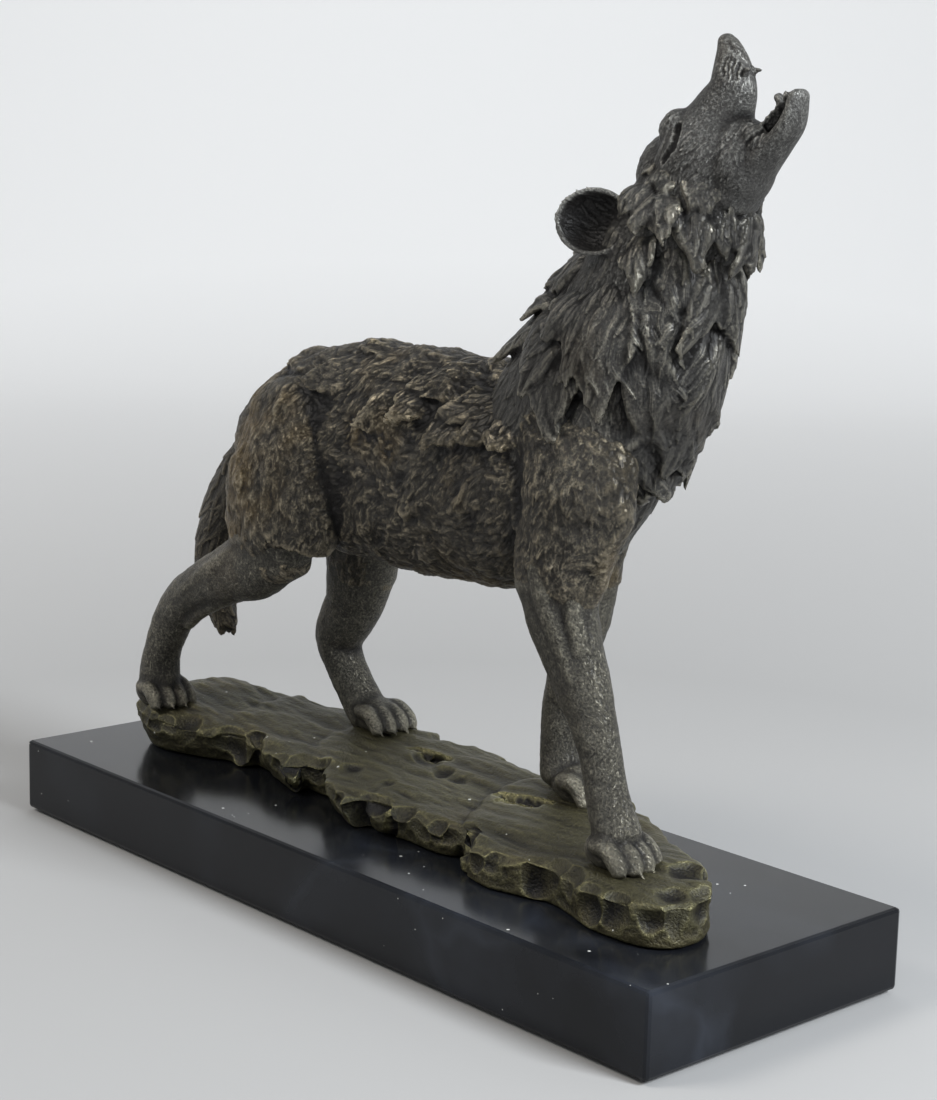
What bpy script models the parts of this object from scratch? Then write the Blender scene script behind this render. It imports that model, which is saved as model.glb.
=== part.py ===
"""Howling wolf cast in one piece with its rock ledge, bolted to a polished marble slab.

Lengths are millimetres until a mesh is made. +X is the way the wolf faces, +Y its left side,
and the origin is under the middle of the slab, on the surface that the felt pads stand on.
"""
import math
import random

import bmesh
import bpy
import numpy as np
from mathutils import Matrix, Vector, noise

MM = 0.001

# Slab
SLAB_LENGTH = 370.0
SLAB_WIDTH = 127.0
SLAB_THICKNESS = 30.0
SLAB_CHAMFER = 1.5

# Felt pads under the slab's corners
PAD_DIAMETER = 20.0
PAD_THICKNESS = 1.2
PAD_INSET = 22.0

# Fixings: a stud screwed into the ledge, with a washer and a nut in the slab's counterbore
STUD_DIAMETER = 6.0
STUD_ENGAGEMENT = 8.0
STUD_TAIL = 2.0
STUD_PLACES = ((-98.0, 2.0), (100.0, -2.0))
STUD_HOLE_CLEARANCE = 0.5
COUNTERBORE_DIAMETER = 24.0
COUNTERBORE_DEPTH = 13.0
WASHER_DIAMETER = 18.0
WASHER_THICKNESS = 1.6
NUT_ACROSS_FLATS = 10.0
NUT_HEIGHT = 5.0
SEAT_GAP = 0.3

# Ledge: top at its middle, the slope of the top across, and its rise at both ends with the place
# where that begins and the length it takes
LEDGE_HEIGHT = 17.0
LEDGE_CROSS_SLOPE = 0.12
LEDGE_TAIL_RISE = 4.0
LEDGE_TAIL_START = -90.0
LEDGE_TAIL_RUN = 40.0
LEDGE_NOSE_RISE = 5.0
LEDGE_NOSE_START = 90.0
LEDGE_NOSE_RUN = 65.0

# Plates: height of the lip's rounding, undercut of each plate, and how far a plate stands above the
# ledge's mean top at its tail end and below it at its nose end
LEDGE_LIP_DROP = 2.6
LEDGE_UNDERCUT = (6.5, 6.5, 6.0, 1.0)
PLATE_RISE = 1.9
PLATE_FALL = 1.33

# Height of the wolf from the ledge to its nose, and the height that its tables are drawn at
FIGURE_HEIGHT = 277.0
DRAWN_HEIGHT = 277.0

# Surface of the casting
SKIN_VOXEL = 1.5
COAT_RELIEF = 1.5
ROCK_RELIEF = 0.9
CASTING_FACETS = 11200

# Laid locks of the right side: start and end as share of the neck's path and degrees from the nape,
# then width, thickness and the tip's lift
MANE_LOCKS = (
    (0.47, -58, 0.400, -76, 12, 6, 5),
    (0.47, -77, 0.405, -98, 12, 6, 6),
    (0.48, -98, 0.420, -122, 13, 6, 6),
    (0.49, -120, 0.405, -146, 14, 6, 7),
    (0.50, -142, 0.430, -168, 12, 6, 5),
    (0.51, -165, 0.410, -190, 13, 6, 7),
    (0.39, -62, 0.310, -74, 13, 6, 4),
    (0.40, -85, 0.330, -116, 14, 6, 4.5),
    (0.41, -108, 0.325, -138, 15, 6, 4.5),
    (0.41, -140, 0.330, -166, 13, 6, 5),
    (0.42, -176, 0.295, -208, 16, 7, 6),
    (0.40, -20, 0.300, -14, 17, 7, 4),
    (0.35, -36, 0.215, -26, 17, 7, 5),
    (0.28, -12, 0.170, -6, 18, 7, 5),
    (0.26, -38, 0.165, -40, 18, 7, 5),
    (0.20, -30, 0.080, -24, 20, 7, 5),
    (0.31, -66, 0.195, -72, 20, 7, 5),
    (0.33, -84, 0.180, -96, 20, 7, 6.5),
    (0.34, -100, 0.175, -124, 26, 8, 8),
    (0.36, -118, 0.265, -150, 20, 8, 6),
    (0.33, -140, 0.135, -192, 30, 9, 9),
    (0.34, -178, 0.185, -204, 20, 8, 7),
    (0.25, -188, 0.150, -212, 18, 8, 6),
    (0.24, -120, 0.100, -184, 27, 8, 6.5),
    (0.24, -62, 0.120, -84, 24, 7, 4.5),
    (0.22, -84, 0.110, -112, 25, 7, 5),
    (0.18, -104, 0.090, -154, 26, 8, 6.5),
    (0.19, -160, 0.085, -190, 20, 8, 3.5),
    (0.17, -184, 0.075, -202, 18, 8, 2.5),
)
LOCK_ROOT = -4.5

# Laid tufts of the right flank, on the trunk's path in the same way
FLANK_LOCKS = (
    (0.62, -28, 0.51, -46, 18, 5, 2.5),
    (0.70, -38, 0.59, -58, 18, 5, 2.5),
    (0.56, -48, 0.50, -72, 16, 6, 3.5),
    (0.63, -50, 0.575, -74, 17, 6, 4),
    (0.70, -50, 0.640, -72, 17, 6, 3.5),
    (0.77, -46, 0.700, -70, 18, 6, 3.5),
    (0.50, -56, 0.43, -74, 16, 5, 3),
    (0.40, -30, 0.31, -50, 18, 5, 2.5),
    (0.34, -8, 0.23, -16, 18, 5, 1),
    (0.46, -4, 0.35, -12, 18, 5, 1),
    (0.58, -6, 0.47, -14, 18, 5, 0.5),
    (0.72, -4, 0.60, -12, 18, 5, 0.5),
    (0.60, -86, 0.53, -112, 16, 5, 2.5),
    (0.70, -84, 0.62, -108, 16, 5, 2.5),
    (0.52, -112, 0.43, -134, 15, 5, 2.5),
    (0.62, -120, 0.54, -142, 15, 5, 2.5),
    (0.72, -118, 0.64, -146, 15, 5, 2.5),
    (0.79, -88, 0.72, -116, 17, 6, 3),
)
LOCK_SEED = 11

PAD_TOP = PAD_THICKNESS
SLAB_BASE = PAD_TOP + SEAT_GAP
SLAB_TOP = SLAB_BASE + SLAB_THICKNESS
LEDGE_SEAT = SLAB_TOP + SEAT_GAP
GROUND = SLAB_TOP + LEDGE_HEIGHT
FIGURE_SCALE = FIGURE_HEIGHT / DRAWN_HEIGHT

# Trunk, from the rump to the breast: x, height above the ledge, half depth, half width
TRUNK = (
    (-103, 113, 14, 12),
    (-92, 116, 27, 19),
    (-72, 118, 37, 24),
    (-42, 122, 41, 25),
    (-8, 123, 42.8, 25),
    (26, 122.5, 42.2, 27),
    (60, 124, 40, 28),
    (85, 132, 32, 26),
    (98, 139, 21, 19),
    (106, 143, 12, 12),
)

# Neck, skull and muzzle, from inside the chest up to the nose: x, height, half depth, half width
NECK = (
    (70, 124, 38, 25),
    (83, 141, 38, 27),
    (94, 158, 35, 27),
    (104.5, 173, 33, 26),
    (112, 185, 31, 25),
    (121.5, 205, 26.5, 21.5),
    (129.5, 218, 22, 19),
    (135.5, 229, 20, 17),
    (139.5, 239, 19, 16),
    (141.5, 246, 16, 13.5),
    (143.5, 252, 11.3, 9.8),
    (146.8, 258, 9, 7.8),
    (146.8, 264, 7.6, 6.8),
    (145.3, 270, 5.8, 5.4),
    (143, 274.5, 3.2, 3.2),
)

# Lower jaw and tongue, from the cheek to the chin: x, height, half depth, half width
JAW = (
    (149, 227, 9.5, 11),
    (157, 236, 6.4, 9.4),
    (164.5, 243, 5.0, 8),
    (170, 249, 4.4, 6.8),
    (173.2, 257, 3.0, 5),
)
TONGUE = (
    (158, 243, 2.6, 3.4),
    (163, 246.5, 2.4, 3.4),
    (166.5, 250.5, 2.0, 3.2),
    (167.4, 254.5, 1.6, 2.6),
    (165.6, 256.6, 1.5, 2.2),
)

# Right eyelid in the same way, but with its y after x
EYE_LID = ((131.5, -10.2, 249.5, 1.5, 1.3), (131.6, -12.8, 243, 1.7, 1.5), (128, -14, 236, 1.4, 1.2))
EYE = (134.2, -12.4, 241.5)

# Limbs, from the body down to the pastern: x, y, height, half depth, half width
RIGHT_FORELEG = (
    (88, -15, 146, 26, 13),
    (102, -19, 128, 25, 14),
    (100, -21, 111, 22, 12.5),
    (95.5, -21, 94, 18.5, 11.2),
    (98.5, -20.5, 82, 14.3, 10.3),
    (103, -20, 70, 12, 9.4),
    (109.5, -20, 57, 10.3, 8.6),
    (115.5, -20, 44, 8.5, 7.6),
    (119.5, -20, 32, 7.7, 7.1),
    (123, -20, 21, 8, 7.4),
    (127, -20, 11, 8.8, 8.5),
)
LEFT_FORELEG = (
    (80, 14, 146, 25, 13),
    (74, 19, 123, 22, 13),
    (69, 20, 103, 18, 12),
    (68, 20, 88, 14.5, 10.7),
    (68, 20, 76, 12.3, 9.6),
    (65, 20, 64, 10.8, 8.8),
    (62.5, 20, 50, 9.4, 8.2),
    (59.6, 20, 36, 8.6, 7.7),
    (58.3, 20, 21, 8.2, 7.6),
    (60, 20, 11, 8.8, 8.4),
)
RIGHT_THIGH = (
    (-66, -12, 136, 25, 13),
    (-60, -19, 118, 30, 15),
    (-59, -22, 100, 33, 14.5),
    (-62, -23, 86, 27, 13),
    (-60, -23, 76, 15, 10),
)
RIGHT_SHANK = (
    (-54, -23, 86, 13, 10.5),
    (-71, -23.5, 75.5, 15, 11.5),
    (-92, -23, 66.5, 12.3, 9.5),
    (-114, -22.5, 57, 10.3, 8.5),
    (-129, -22, 47, 9.7, 8.2),
    (-138.5, -22, 34, 8.8, 7.8),
    (-144, -22, 22, 8.6, 8),
    (-145, -22, 11, 9.5, 9),
)
LEFT_THIGH = (
    (-66, 12, 136, 25, 13),
    (-61, 19, 118, 29, 15),
    (-60, 22, 98, 26, 14),
    (-62, 22, 81, 20.5, 12.5),
    (-64, 22, 68, 18, 11.5),
    (-69, 22, 51, 13.3, 10),
    (-76, 22, 39, 11, 9),
)
LEFT_SHANK = (
    (-73, 22, 50, 11, 9.2),
    (-77.5, 22, 38, 10.6, 9),
    (-74, 22, 28, 9.2, 8.3),
    (-66, 22, 18, 8.4, 8),
    (-57, 22, 8, 8.6, 8.6),
)
TAIL = (
    (-88, 4, 122, 14, 11),
    (-101, 5, 117, 12.5, 9.5),
    (-114, 6, 109, 12.5, 9.5),
    (-127.5, 6.5, 96, 12.5, 9.5),
    (-138.5, 7, 81, 12, 9.2),
    (-144.5, 7, 64, 10.5, 8.3),
    (-143, 7, 48, 8.5, 7),
    (-136, 6.5, 35, 4.5, 4.5),
)

# Paws: x and y of the middle of the foot
PAWS = ((131, -20), (75, 19), (-141, -22), (-47, 22))
PAW_LENGTH = 31.0
PAW_WIDTH = 22.0
PAW_HEIGHT = 15.0
PAW_INSET = 4.0
PAW_LET_IN = 1.6
TOE_PLACES = (-0.74, -0.26, 0.26, 0.74)

# Ears: middle of the cup, the way that it opens, its half width, height and depth
EAR_PLACE = (109.5, 24.0, 216.0)
EAR_AXIS = (0.42, 0.88, 0.10)
EAR_RADII = (13.4, 11.4)
EAR_DEPTH = 7.5
EAR_WALL = 2.2
EAR_ROOT = 4.0

# Middles of the skull, the cheeks and the nose pad
SKULL = (125.5, 0.0, 231.0)
CHEEKS = (151.0, 0.0, 236.0)
NOSE = (146.5, 0.0, 273.6)

# Ledge plates, each with its near lip from tail to nose and its far lip from nose to tail
PLATES = (
    (((-163, -12), (-156, -27), (-138, -33), (-113, -27), (-98, -18), (-86, -16)),
     ((-84, 30), (-116, 26), (-142, 21), (-153, 17), (-160, 8))),
    (((-112, -8), (-86, -15), (-77, -20), (-66, -23), (-47, -27), (-48, -19), (-35, -18), (-20, -12)),
     ((-20, 36), (-45, 38), (-64, 34), (-98, 29), (-112, 24))),
    (((-60, -4), (-40, -16), (-28, -26), (-15, -32), (0, -37), (3, -31), (12, -33), (30, -30),
      (50, -29), (58, -18)),
     ((60, 30), (24, 34), (8, 36), (-10, 37), (-40, 34), (-62, 20))),
    (((38, 2), (47, -15), (62, -33), (80, -39), (92, -37), (100, -35), (107, -33), (118, -35),
      (135, -40), (150, -40), (161, -37), (167, -29), (166, -17), (158, -6)),
     ((142, 3), (120, 14), (100, 26), (76, 33), (50, 32), (38, 20))),
)
# Shell-shaped chips broken out of the ledge: centre and radius of each
CHIPS = (
    (-132, -38, 47, 10),
    (-115, -34, 48, 9),
    (-98, -27, 46, 8),
    (-72, -31, 47, 10),
    (-55, -34, 46, 9),
    (-37, -26, 47, 8),
    (-18, -39, 47, 10),
    (1, -42, 45, 9),
    (17, -38, 46, 9),
    (33, -37, 45, 9),
    (70, -42, 44, 9),
    (83, -44, 44, 8),
    (96, -41, 44, 8),
    (109, -38, 45, 7),
    (121, -41, 46, 8),
    (138, -45, 45, 9),
    (161, -25, 53, 8),
    (171, -17, 46, 7),
    (152, -44, 38, 7),
    (-9, 12, 59, 11),
    (6, 6, 58, 10.5),
    (-117, 33, 47, 10),
    (-75, 40, 48, 9),
    (-30, 44, 49, 10),
    (15, 43, 49, 10),
    (60, 40, 49, 9),
    (110, 30, 48, 10),
    (-163, 4, 45, 7),
)


def smooth(rows, steps):
    """Catmull-Rom curve through the rows, with a number of steps for each gap between two."""
    rows = np.array(rows, dtype=float)
    padded = np.vstack([2 * rows[0] - rows[1], rows, 2 * rows[-1] - rows[-2]])
    curve = []
    for index in range(len(rows) - 1):
        a, b, c, d = padded[index:index + 4]
        for step in range(steps):
            t = step / steps
            curve.append(0.5 * (2 * b + (c - a) * t + (2 * a - 5 * b + 4 * c - d) * t ** 2
                                + (3 * b - a - 3 * c + d) * t ** 3))
    curve.append(rows[-1])
    return np.array(curve)


def add_rings(mesh, rings):
    """Skin a row of rings of points, closed by a flat face at each end."""
    loops = [[mesh.verts.new(point) for point in ring] for ring in rings]
    count = len(loops[0])
    for lower, upper in zip(loops, loops[1:]):
        for i in range(count):
            j = (i + 1) % count
            mesh.faces.new((lower[i], lower[j], upper[j], upper[i]))
    mesh.faces.new(loops[0][::-1])
    mesh.faces.new(loops[-1])


def frames(centres):
    """The way forward, the side and the back of each point of a path."""
    along = np.gradient(centres, axis=0)
    along /= np.linalg.norm(along, axis=1)[:, None]
    side = np.array([0.0, 1.0, 0.0]) - along * along[:, 1:2]
    side /= np.linalg.norm(side, axis=1)[:, None]
    return along, side, np.cross(along, side)


def add_limb(mesh, stations, lift=GROUND, steps=4, sides=20, crest=0.0, scoop=0.0):
    """Loft oval sections along a path with rounded ends; a crest narrows the back, a scoop hollows it."""
    rows = smooth(stations, steps)
    rows[:, 2] += lift
    along, side, back = frames(rows[:, :3])
    rings = []

    def ring(k, scale, push):
        centre = rows[k, :3] + along[k] * push
        points = []
        for i in range(sides):
            angle = 2 * math.pi * i / sides
            depth = rows[k, 3] * scale * (math.cos(angle) - scoop * max(math.cos(angle), 0.0) ** 4)
            width = rows[k, 4] * scale * math.sin(angle) * (1 - crest * math.cos(angle))
            points.append(centre + back[k] * depth + side[k] * width)
        return points

    cap = 0.5 * (rows[0, 3] + rows[0, 4]) * 0.7
    for degrees in (75, 50, 25):
        angle = math.radians(degrees)
        rings.append(ring(0, math.cos(angle), -cap * math.sin(angle)))
    rings.extend(ring(k, 1.0, 0.0) for k in range(len(rows)))
    cap = 0.5 * (rows[-1, 3] + rows[-1, 4]) * 0.7
    for degrees in (25, 50, 75):
        angle = math.radians(degrees)
        rings.append(ring(len(rows) - 1, math.cos(angle), cap * math.sin(angle)))
    add_rings(mesh, rings)


def flat_path(stations):
    """Stations in the middle plane: the sideways place is nought."""
    return [(x, 0.0, z, depth, width) for x, z, depth, width in stations]


def add_ball(mesh, centre, radii, axis=(0.0, 0.0, 1.0), segments=12):
    """An ellipsoid whose last radius lies along the axis."""
    turn = Vector((0, 0, 1)).rotation_difference(Vector(axis)).to_matrix().to_4x4()
    place = Matrix.Translation(Vector(centre)) @ turn @ Matrix.Diagonal((*radii, 1.0))
    bmesh.ops.create_uvsphere(mesh, u_segments=segments, v_segments=segments // 2 + 2, radius=1.0,
                              matrix=place)


def ground(x, y):
    """Height of the ledge's top surface before its plates are stepped."""
    height = GROUND + LEDGE_CROSS_SLOPE * y
    height += LEDGE_TAIL_RISE * min(max((LEDGE_TAIL_START - x) / LEDGE_TAIL_RUN, 0.0), 1.0)
    height += LEDGE_NOSE_RISE * min(max((x - LEDGE_NOSE_START) / LEDGE_NOSE_RUN, 0.0), 1.0)
    return height


def stepped(plate, x):
    """How far a plate stands above the ledge's mean top: high at its tail end, low at its nose end."""
    places = [point[0] for side in PLATES[plate] for point in side]
    share = (x - min(places)) / (max(places) - min(places))
    return PLATE_RISE - (PLATE_RISE + PLATE_FALL) * share


def footing(x, y):
    """Height of the ledge under a paw: the last plate that has begun at that place."""
    begun = [plate for plate in range(len(PLATES)) if min(PLATES[plate][0])[0] < x - PAW_INSET]
    return ground(x, y) + stepped(begun[-1], x)


def add_paw(mesh, x, y):
    """A foot with four knuckled toes that end in claws, its sole let into the ledge."""
    sole = footing(x, y) - PAW_LET_IN
    half = PAW_WIDTH / 2
    add_ball(mesh, (x - 0.17 * PAW_LENGTH, y, sole + 0.42 * PAW_HEIGHT),
             (0.36 * PAW_LENGTH, 0.8 * half, 0.5 * PAW_HEIGHT), segments=16)
    for place in TOE_PLACES:
        reach = x + PAW_LENGTH * (0.02 - 0.1 * place ** 2)
        across = y + place * half
        thick = 0.13 * PAW_WIDTH
        toe = (
            (reach - 0.20 * PAW_LENGTH, across - 0.1 * place * half, sole + 0.58 * PAW_HEIGHT, thick, thick),
            (reach + 0.02 * PAW_LENGTH, across, sole + 0.6 * PAW_HEIGHT, 1.2 * thick, 1.12 * thick),
            (reach + 0.17 * PAW_LENGTH, across + 0.06 * place * half, sole + 0.4 * PAW_HEIGHT, 1.2 * thick,
             1.1 * thick),
            (reach + 0.24 * PAW_LENGTH, across + 0.08 * place * half, sole + 0.2 * PAW_HEIGHT, thick, thick),
        )
        add_limb(mesh, toe, lift=0.0, steps=3, sides=10)
        add_ball(mesh, (reach + 0.33 * PAW_LENGTH, across + 0.09 * place * half, sole + 0.15 * PAW_HEIGHT),
                 (0.28 * thick, 0.3 * thick, 0.95 * thick), axis=(0.8, 0.0, -0.45), segments=8)


def add_ear(mesh, hand):
    """A round cup with a rolled rim, open outwards; hand is 1 for the left ear."""
    axis = Vector((EAR_AXIS[0], EAR_AXIS[1] * hand, EAR_AXIS[2])).normalized()
    across = Vector((0, 0, 1)).cross(axis).normalized()
    upward = axis.cross(across)
    centre = Vector((EAR_PLACE[0], EAR_PLACE[1] * hand, EAR_PLACE[2] + GROUND))
    rings = []
    for wall, turns in ((0.0, (80, 60, 40, 20, 0)), (EAR_WALL, (0, 20, 40, 60, 80))):
        for turn in turns:
            share = math.cos(math.radians(turn))
            depth = (EAR_DEPTH - wall) * math.sin(math.radians(turn))
            ring = []
            for i in range(24):
                angle = 2 * math.pi * i / 24
                flat = across * ((EAR_RADII[0] - wall) * share * math.cos(angle))
                tall = upward * ((EAR_RADII[1] - wall) * share * math.sin(angle))
                ring.append(centre + flat + tall - axis * depth)
            rings.append(ring)
    add_rings(mesh, rings)
    skull = Vector(SKULL) + Vector((0.0, 0.0, GROUND))
    heel = centre - axis * (EAR_DEPTH - EAR_WALL / 2)
    middle = skull.lerp(heel, 0.5)
    root = [(*skull, EAR_ROOT, EAR_ROOT), (*middle, EAR_ROOT, EAR_ROOT), (*heel, EAR_ROOT, EAR_ROOT)]
    add_limb(mesh, root, lift=0.0, sides=12)


def path_point(rows, place, angle):
    """Point and outward way on a loft, at a share of its path and an angle from its back."""
    k = min(max(place, 0.0), 1.0) * (len(rows) - 1)
    low = min(int(k), len(rows) - 2)
    row = rows[low] + (rows[low + 1] - rows[low]) * (k - low)
    ahead = rows[low + 1, :3] - rows[low, :3]
    ahead /= np.linalg.norm(ahead)
    side = np.array([0.0, 1.0, 0.0])
    back = np.cross(ahead, side)
    out = back * math.cos(angle) / row[3] + side * math.sin(angle) / row[4]
    point = row[:3] + back * math.cos(angle) * row[3] + side * math.sin(angle) * row[4]
    return point, out / np.linalg.norm(out)


def add_lock(mesh, points, normals, width, thickness):
    """One lock of hair: a leaf with a raised back that narrows to a point."""
    points = np.array(points)
    along = np.gradient(points, axis=0)
    along /= np.linalg.norm(along, axis=1)[:, None]
    shares = ((0.55, 0.7), (0.95, 0.95), (1.06, 1.0), (0.98, 0.85), (0.66, 0.62), (0.10, 0.25))
    rings = []
    for point, forward, normal, (wide, thick) in zip(points, along, normals, shares):
        side = np.cross(normal, forward)
        side /= np.linalg.norm(side)
        rise = np.cross(forward, side)
        ring = []
        for i in range(8):
            angle = 2 * math.pi * i / 8
            ring.append(point + side * (0.5 * width * wide * math.cos(angle))
                        + rise * (0.5 * thickness * thick * math.sin(angle)))
        rings.append(ring)
    add_rings(mesh, rings)


def lay_locks(mesh, stations, table):
    """Lay the locks of a table on both sides of a path, each side a little different."""
    chance = random.Random(LOCK_SEED)
    rows = smooth(flat_path(stations), 4)
    rows[:, 2] += GROUND
    ear = np.array((EAR_PLACE[0], EAR_PLACE[1], EAR_PLACE[2] + GROUND))
    for start, turned, end, turned_end, wide, thick, lift in table:
        for hand in (1, -1):
            first = math.radians(turned + chance.uniform(-4, 4)) * hand
            last = math.radians(turned_end + chance.uniform(-4, 4)) * hand
            tip = lift * chance.uniform(0.9, 1.1)
            bend = chance.uniform(-0.12, 0.12)
            points, normals = [], []
            for i in range(6):
                t = i / 5
                turn = first + (last - first) * t + bend * math.sin(math.pi * t)
                point, out = path_point(rows, start + (end - start) * t, turn)
                points.append(point + out * (LOCK_ROOT + (tip - LOCK_ROOT) * t ** 0.8))
                normals.append(out)
            middle = points[2] * np.array((1.0, np.sign(points[2][1]), 1.0))
            if np.linalg.norm(middle - ear) < EAR_RADII[0] + 3:
                continue
            add_lock(mesh, points, normals, wide, thick)


def add_head(mesh):
    """Skull, cheeks, brows, eyes, nose, canines, tongue and ears about the neck's upper end."""
    add_limb(mesh, flat_path(JAW), scoop=0.85)
    add_limb(mesh, flat_path(TONGUE), sides=10)
    for place, radii, segments in ((CHEEKS, (12, 12.5, 15), 20), (SKULL, (14, 15, 15.5), 20),
                                   (NOSE, (3.4, 3.6, 2.6), 12)):
        add_ball(mesh, (place[0], place[1], place[2] + GROUND), radii, segments=segments)
    for hand in (-1, 1):
        add_ball(mesh, (131, 7.0 * hand, GROUND + 245.5), (7, 6.5, 7.5))
        add_ball(mesh, (EYE[0], -EYE[1] * hand, EYE[2] + GROUND), (2.8, 2.8, 3.2))
        add_limb(mesh, [(x, -y * hand, z, depth, width) for x, y, z, depth, width in EYE_LID], sides=8)
        add_ball(mesh, (155.2, 3.3 * hand, GROUND + 264.4), (2.8, 1.1, 1.3))
        add_ball(mesh, (171.4, 3.6 * hand, GROUND + 256.2), (1.2, 1.1, 2.8))
        add_ear(mesh, hand)


def add_plate(mesh, plate):
    """One shale plate of the ledge: undercut below its lip, and sloping up to its top."""
    near, far = PLATES[plate]
    outline = smooth(tuple(near) + tuple(far) + (near[0],), 3)[:-1]
    middle = outline.mean(axis=0)
    reach = outline - middle
    away = reach / np.linalg.norm(reach, axis=1)[:, None]
    undercut = LEDGE_UNDERCUT[plate]
    levels = (
        (undercut + 2, None),
        (undercut, 0.0),
        (0.4 * undercut, 0.5),
        (0.3, 0.86),
        (0.0, 1.0),
        (1.0, 1.22),
        (4.5, 1.42),
        (11.0, 1.5),
    )
    rings = []
    for inset, level in levels:
        ring = []
        for point, direction in zip(outline, away):
            x, y = point - direction * inset
            top = ground(x, y) + stepped(plate, x)
            lip = top - LEDGE_LIP_DROP
            if level is None:
                z = LEDGE_SEAT - 3.0
            elif level <= 1.0:
                z = LEDGE_SEAT + (lip - LEDGE_SEAT) * level
            else:
                z = lip + (top - lip) * (level - 1.0) * 2
            ring.append((x, y, z))
        rings.append(ring)
    add_rings(mesh, rings)


def new_material(name, colour, roughness, metallic):
    """A plain finish for the part."""
    material = bpy.data.materials.new(name)
    material.use_nodes = True
    shader = material.node_tree.nodes["Principled BSDF"]
    shader.inputs["Base Color"].default_value = (*colour, 1.0)
    shader.inputs["Roughness"].default_value = roughness
    shader.inputs["Metallic"].default_value = metallic
    return material


def new_object(name, mesh, material=None):
    """Turn a bmesh in millimetres into an object in metres."""
    bmesh.ops.recalc_face_normals(mesh, faces=mesh.faces[:])
    bmesh.ops.scale(mesh, vec=(MM, MM, MM), verts=mesh.verts[:])
    data = bpy.data.meshes.new(name)
    mesh.to_mesh(data)
    mesh.free()
    item = bpy.data.objects.new(name, data)
    bpy.context.collection.objects.link(item)
    if material:
        data.materials.append(material)
    return item


def new_cylinder(name, radius, low, high, place=(0.0, 0.0), sides=48, material=None):
    """An upright cylinder between two heights."""
    mesh = bmesh.new()
    middle = Matrix.Translation((place[0], place[1], (low + high) / 2))
    bmesh.ops.create_cone(mesh, cap_ends=True, segments=sides, radius1=radius, radius2=radius,
                          depth=high - low, matrix=middle)
    return new_object(name, mesh, material)


def new_box(name, size, centre, material=None):
    """A box with its sides along the axes."""
    mesh = bmesh.new()
    bmesh.ops.create_cube(mesh, size=1.0, matrix=Matrix.Translation(centre) @ Matrix.Diagonal((*size, 1.0)))
    return new_object(name, mesh, material)


def cut(item, cutter):
    """Take the cutter out of the item."""
    cutter.hide_render = True
    cutter.display_type = "WIRE"
    modifier = item.modifiers.new(cutter.name, "BOOLEAN")
    modifier.operation = "DIFFERENCE"
    modifier.solver = "EXACT"
    modifier.object = cutter


def evaluated_mesh(item):
    """The item's mesh with its modifiers worked in, which are then removed."""
    graph = bpy.context.evaluated_depsgraph_get()
    data = bpy.data.meshes.new_from_object(item.evaluated_get(graph))
    item.modifiers.clear()
    return data


def rough_cast(data):
    """Lumps of the coat on the wolf, and flowing bedding and shell-shaped chips on the ledge."""
    base = Vector((0.0, 0.0, SLAB_TOP))
    mesh = bmesh.new()
    mesh.from_mesh(data)
    mesh.normal_update()
    for vertex in mesh.verts:
        place = (vertex.co / MM - base) / FIGURE_SCALE + base
        over = place.z - ground(place.x, place.y)
        if over > 3.0:
            calm = min(max((over - 45) / 25, 0.12), 1.0)
            calm *= min(max((215 - over) / 25, 0.08), 1.0)
            lump = noise.fractal(place / 15.0, 1.0, 2.0, 3)
            place += vertex.normal * (COAT_RELIEF * calm * lump)
        else:
            flat = max(vertex.normal.z, 0.0)
            flowing = noise.fractal(Vector((place.x / 34, place.y / 9, place.z / 9)), 0.9, 2.0, 3)
            craggy = noise.fractal(Vector((place.x / 11, place.y / 10, place.z / 7)), 0.7, 2.2, 3)
            place += vertex.normal * (ROCK_RELIEF * (flowing * flat + craggy * (1.0 - flat)))
            for x, y, z, radius in CHIPS:
                reach = place - Vector((x, y, z))
                if 0.01 < reach.length < radius:
                    place = Vector((x, y, z)) + reach * (radius / reach.length)
        vertex.co = ((place - base) * FIGURE_SCALE + base) * MM
    mesh.to_mesh(data)
    mesh.free()


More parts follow.
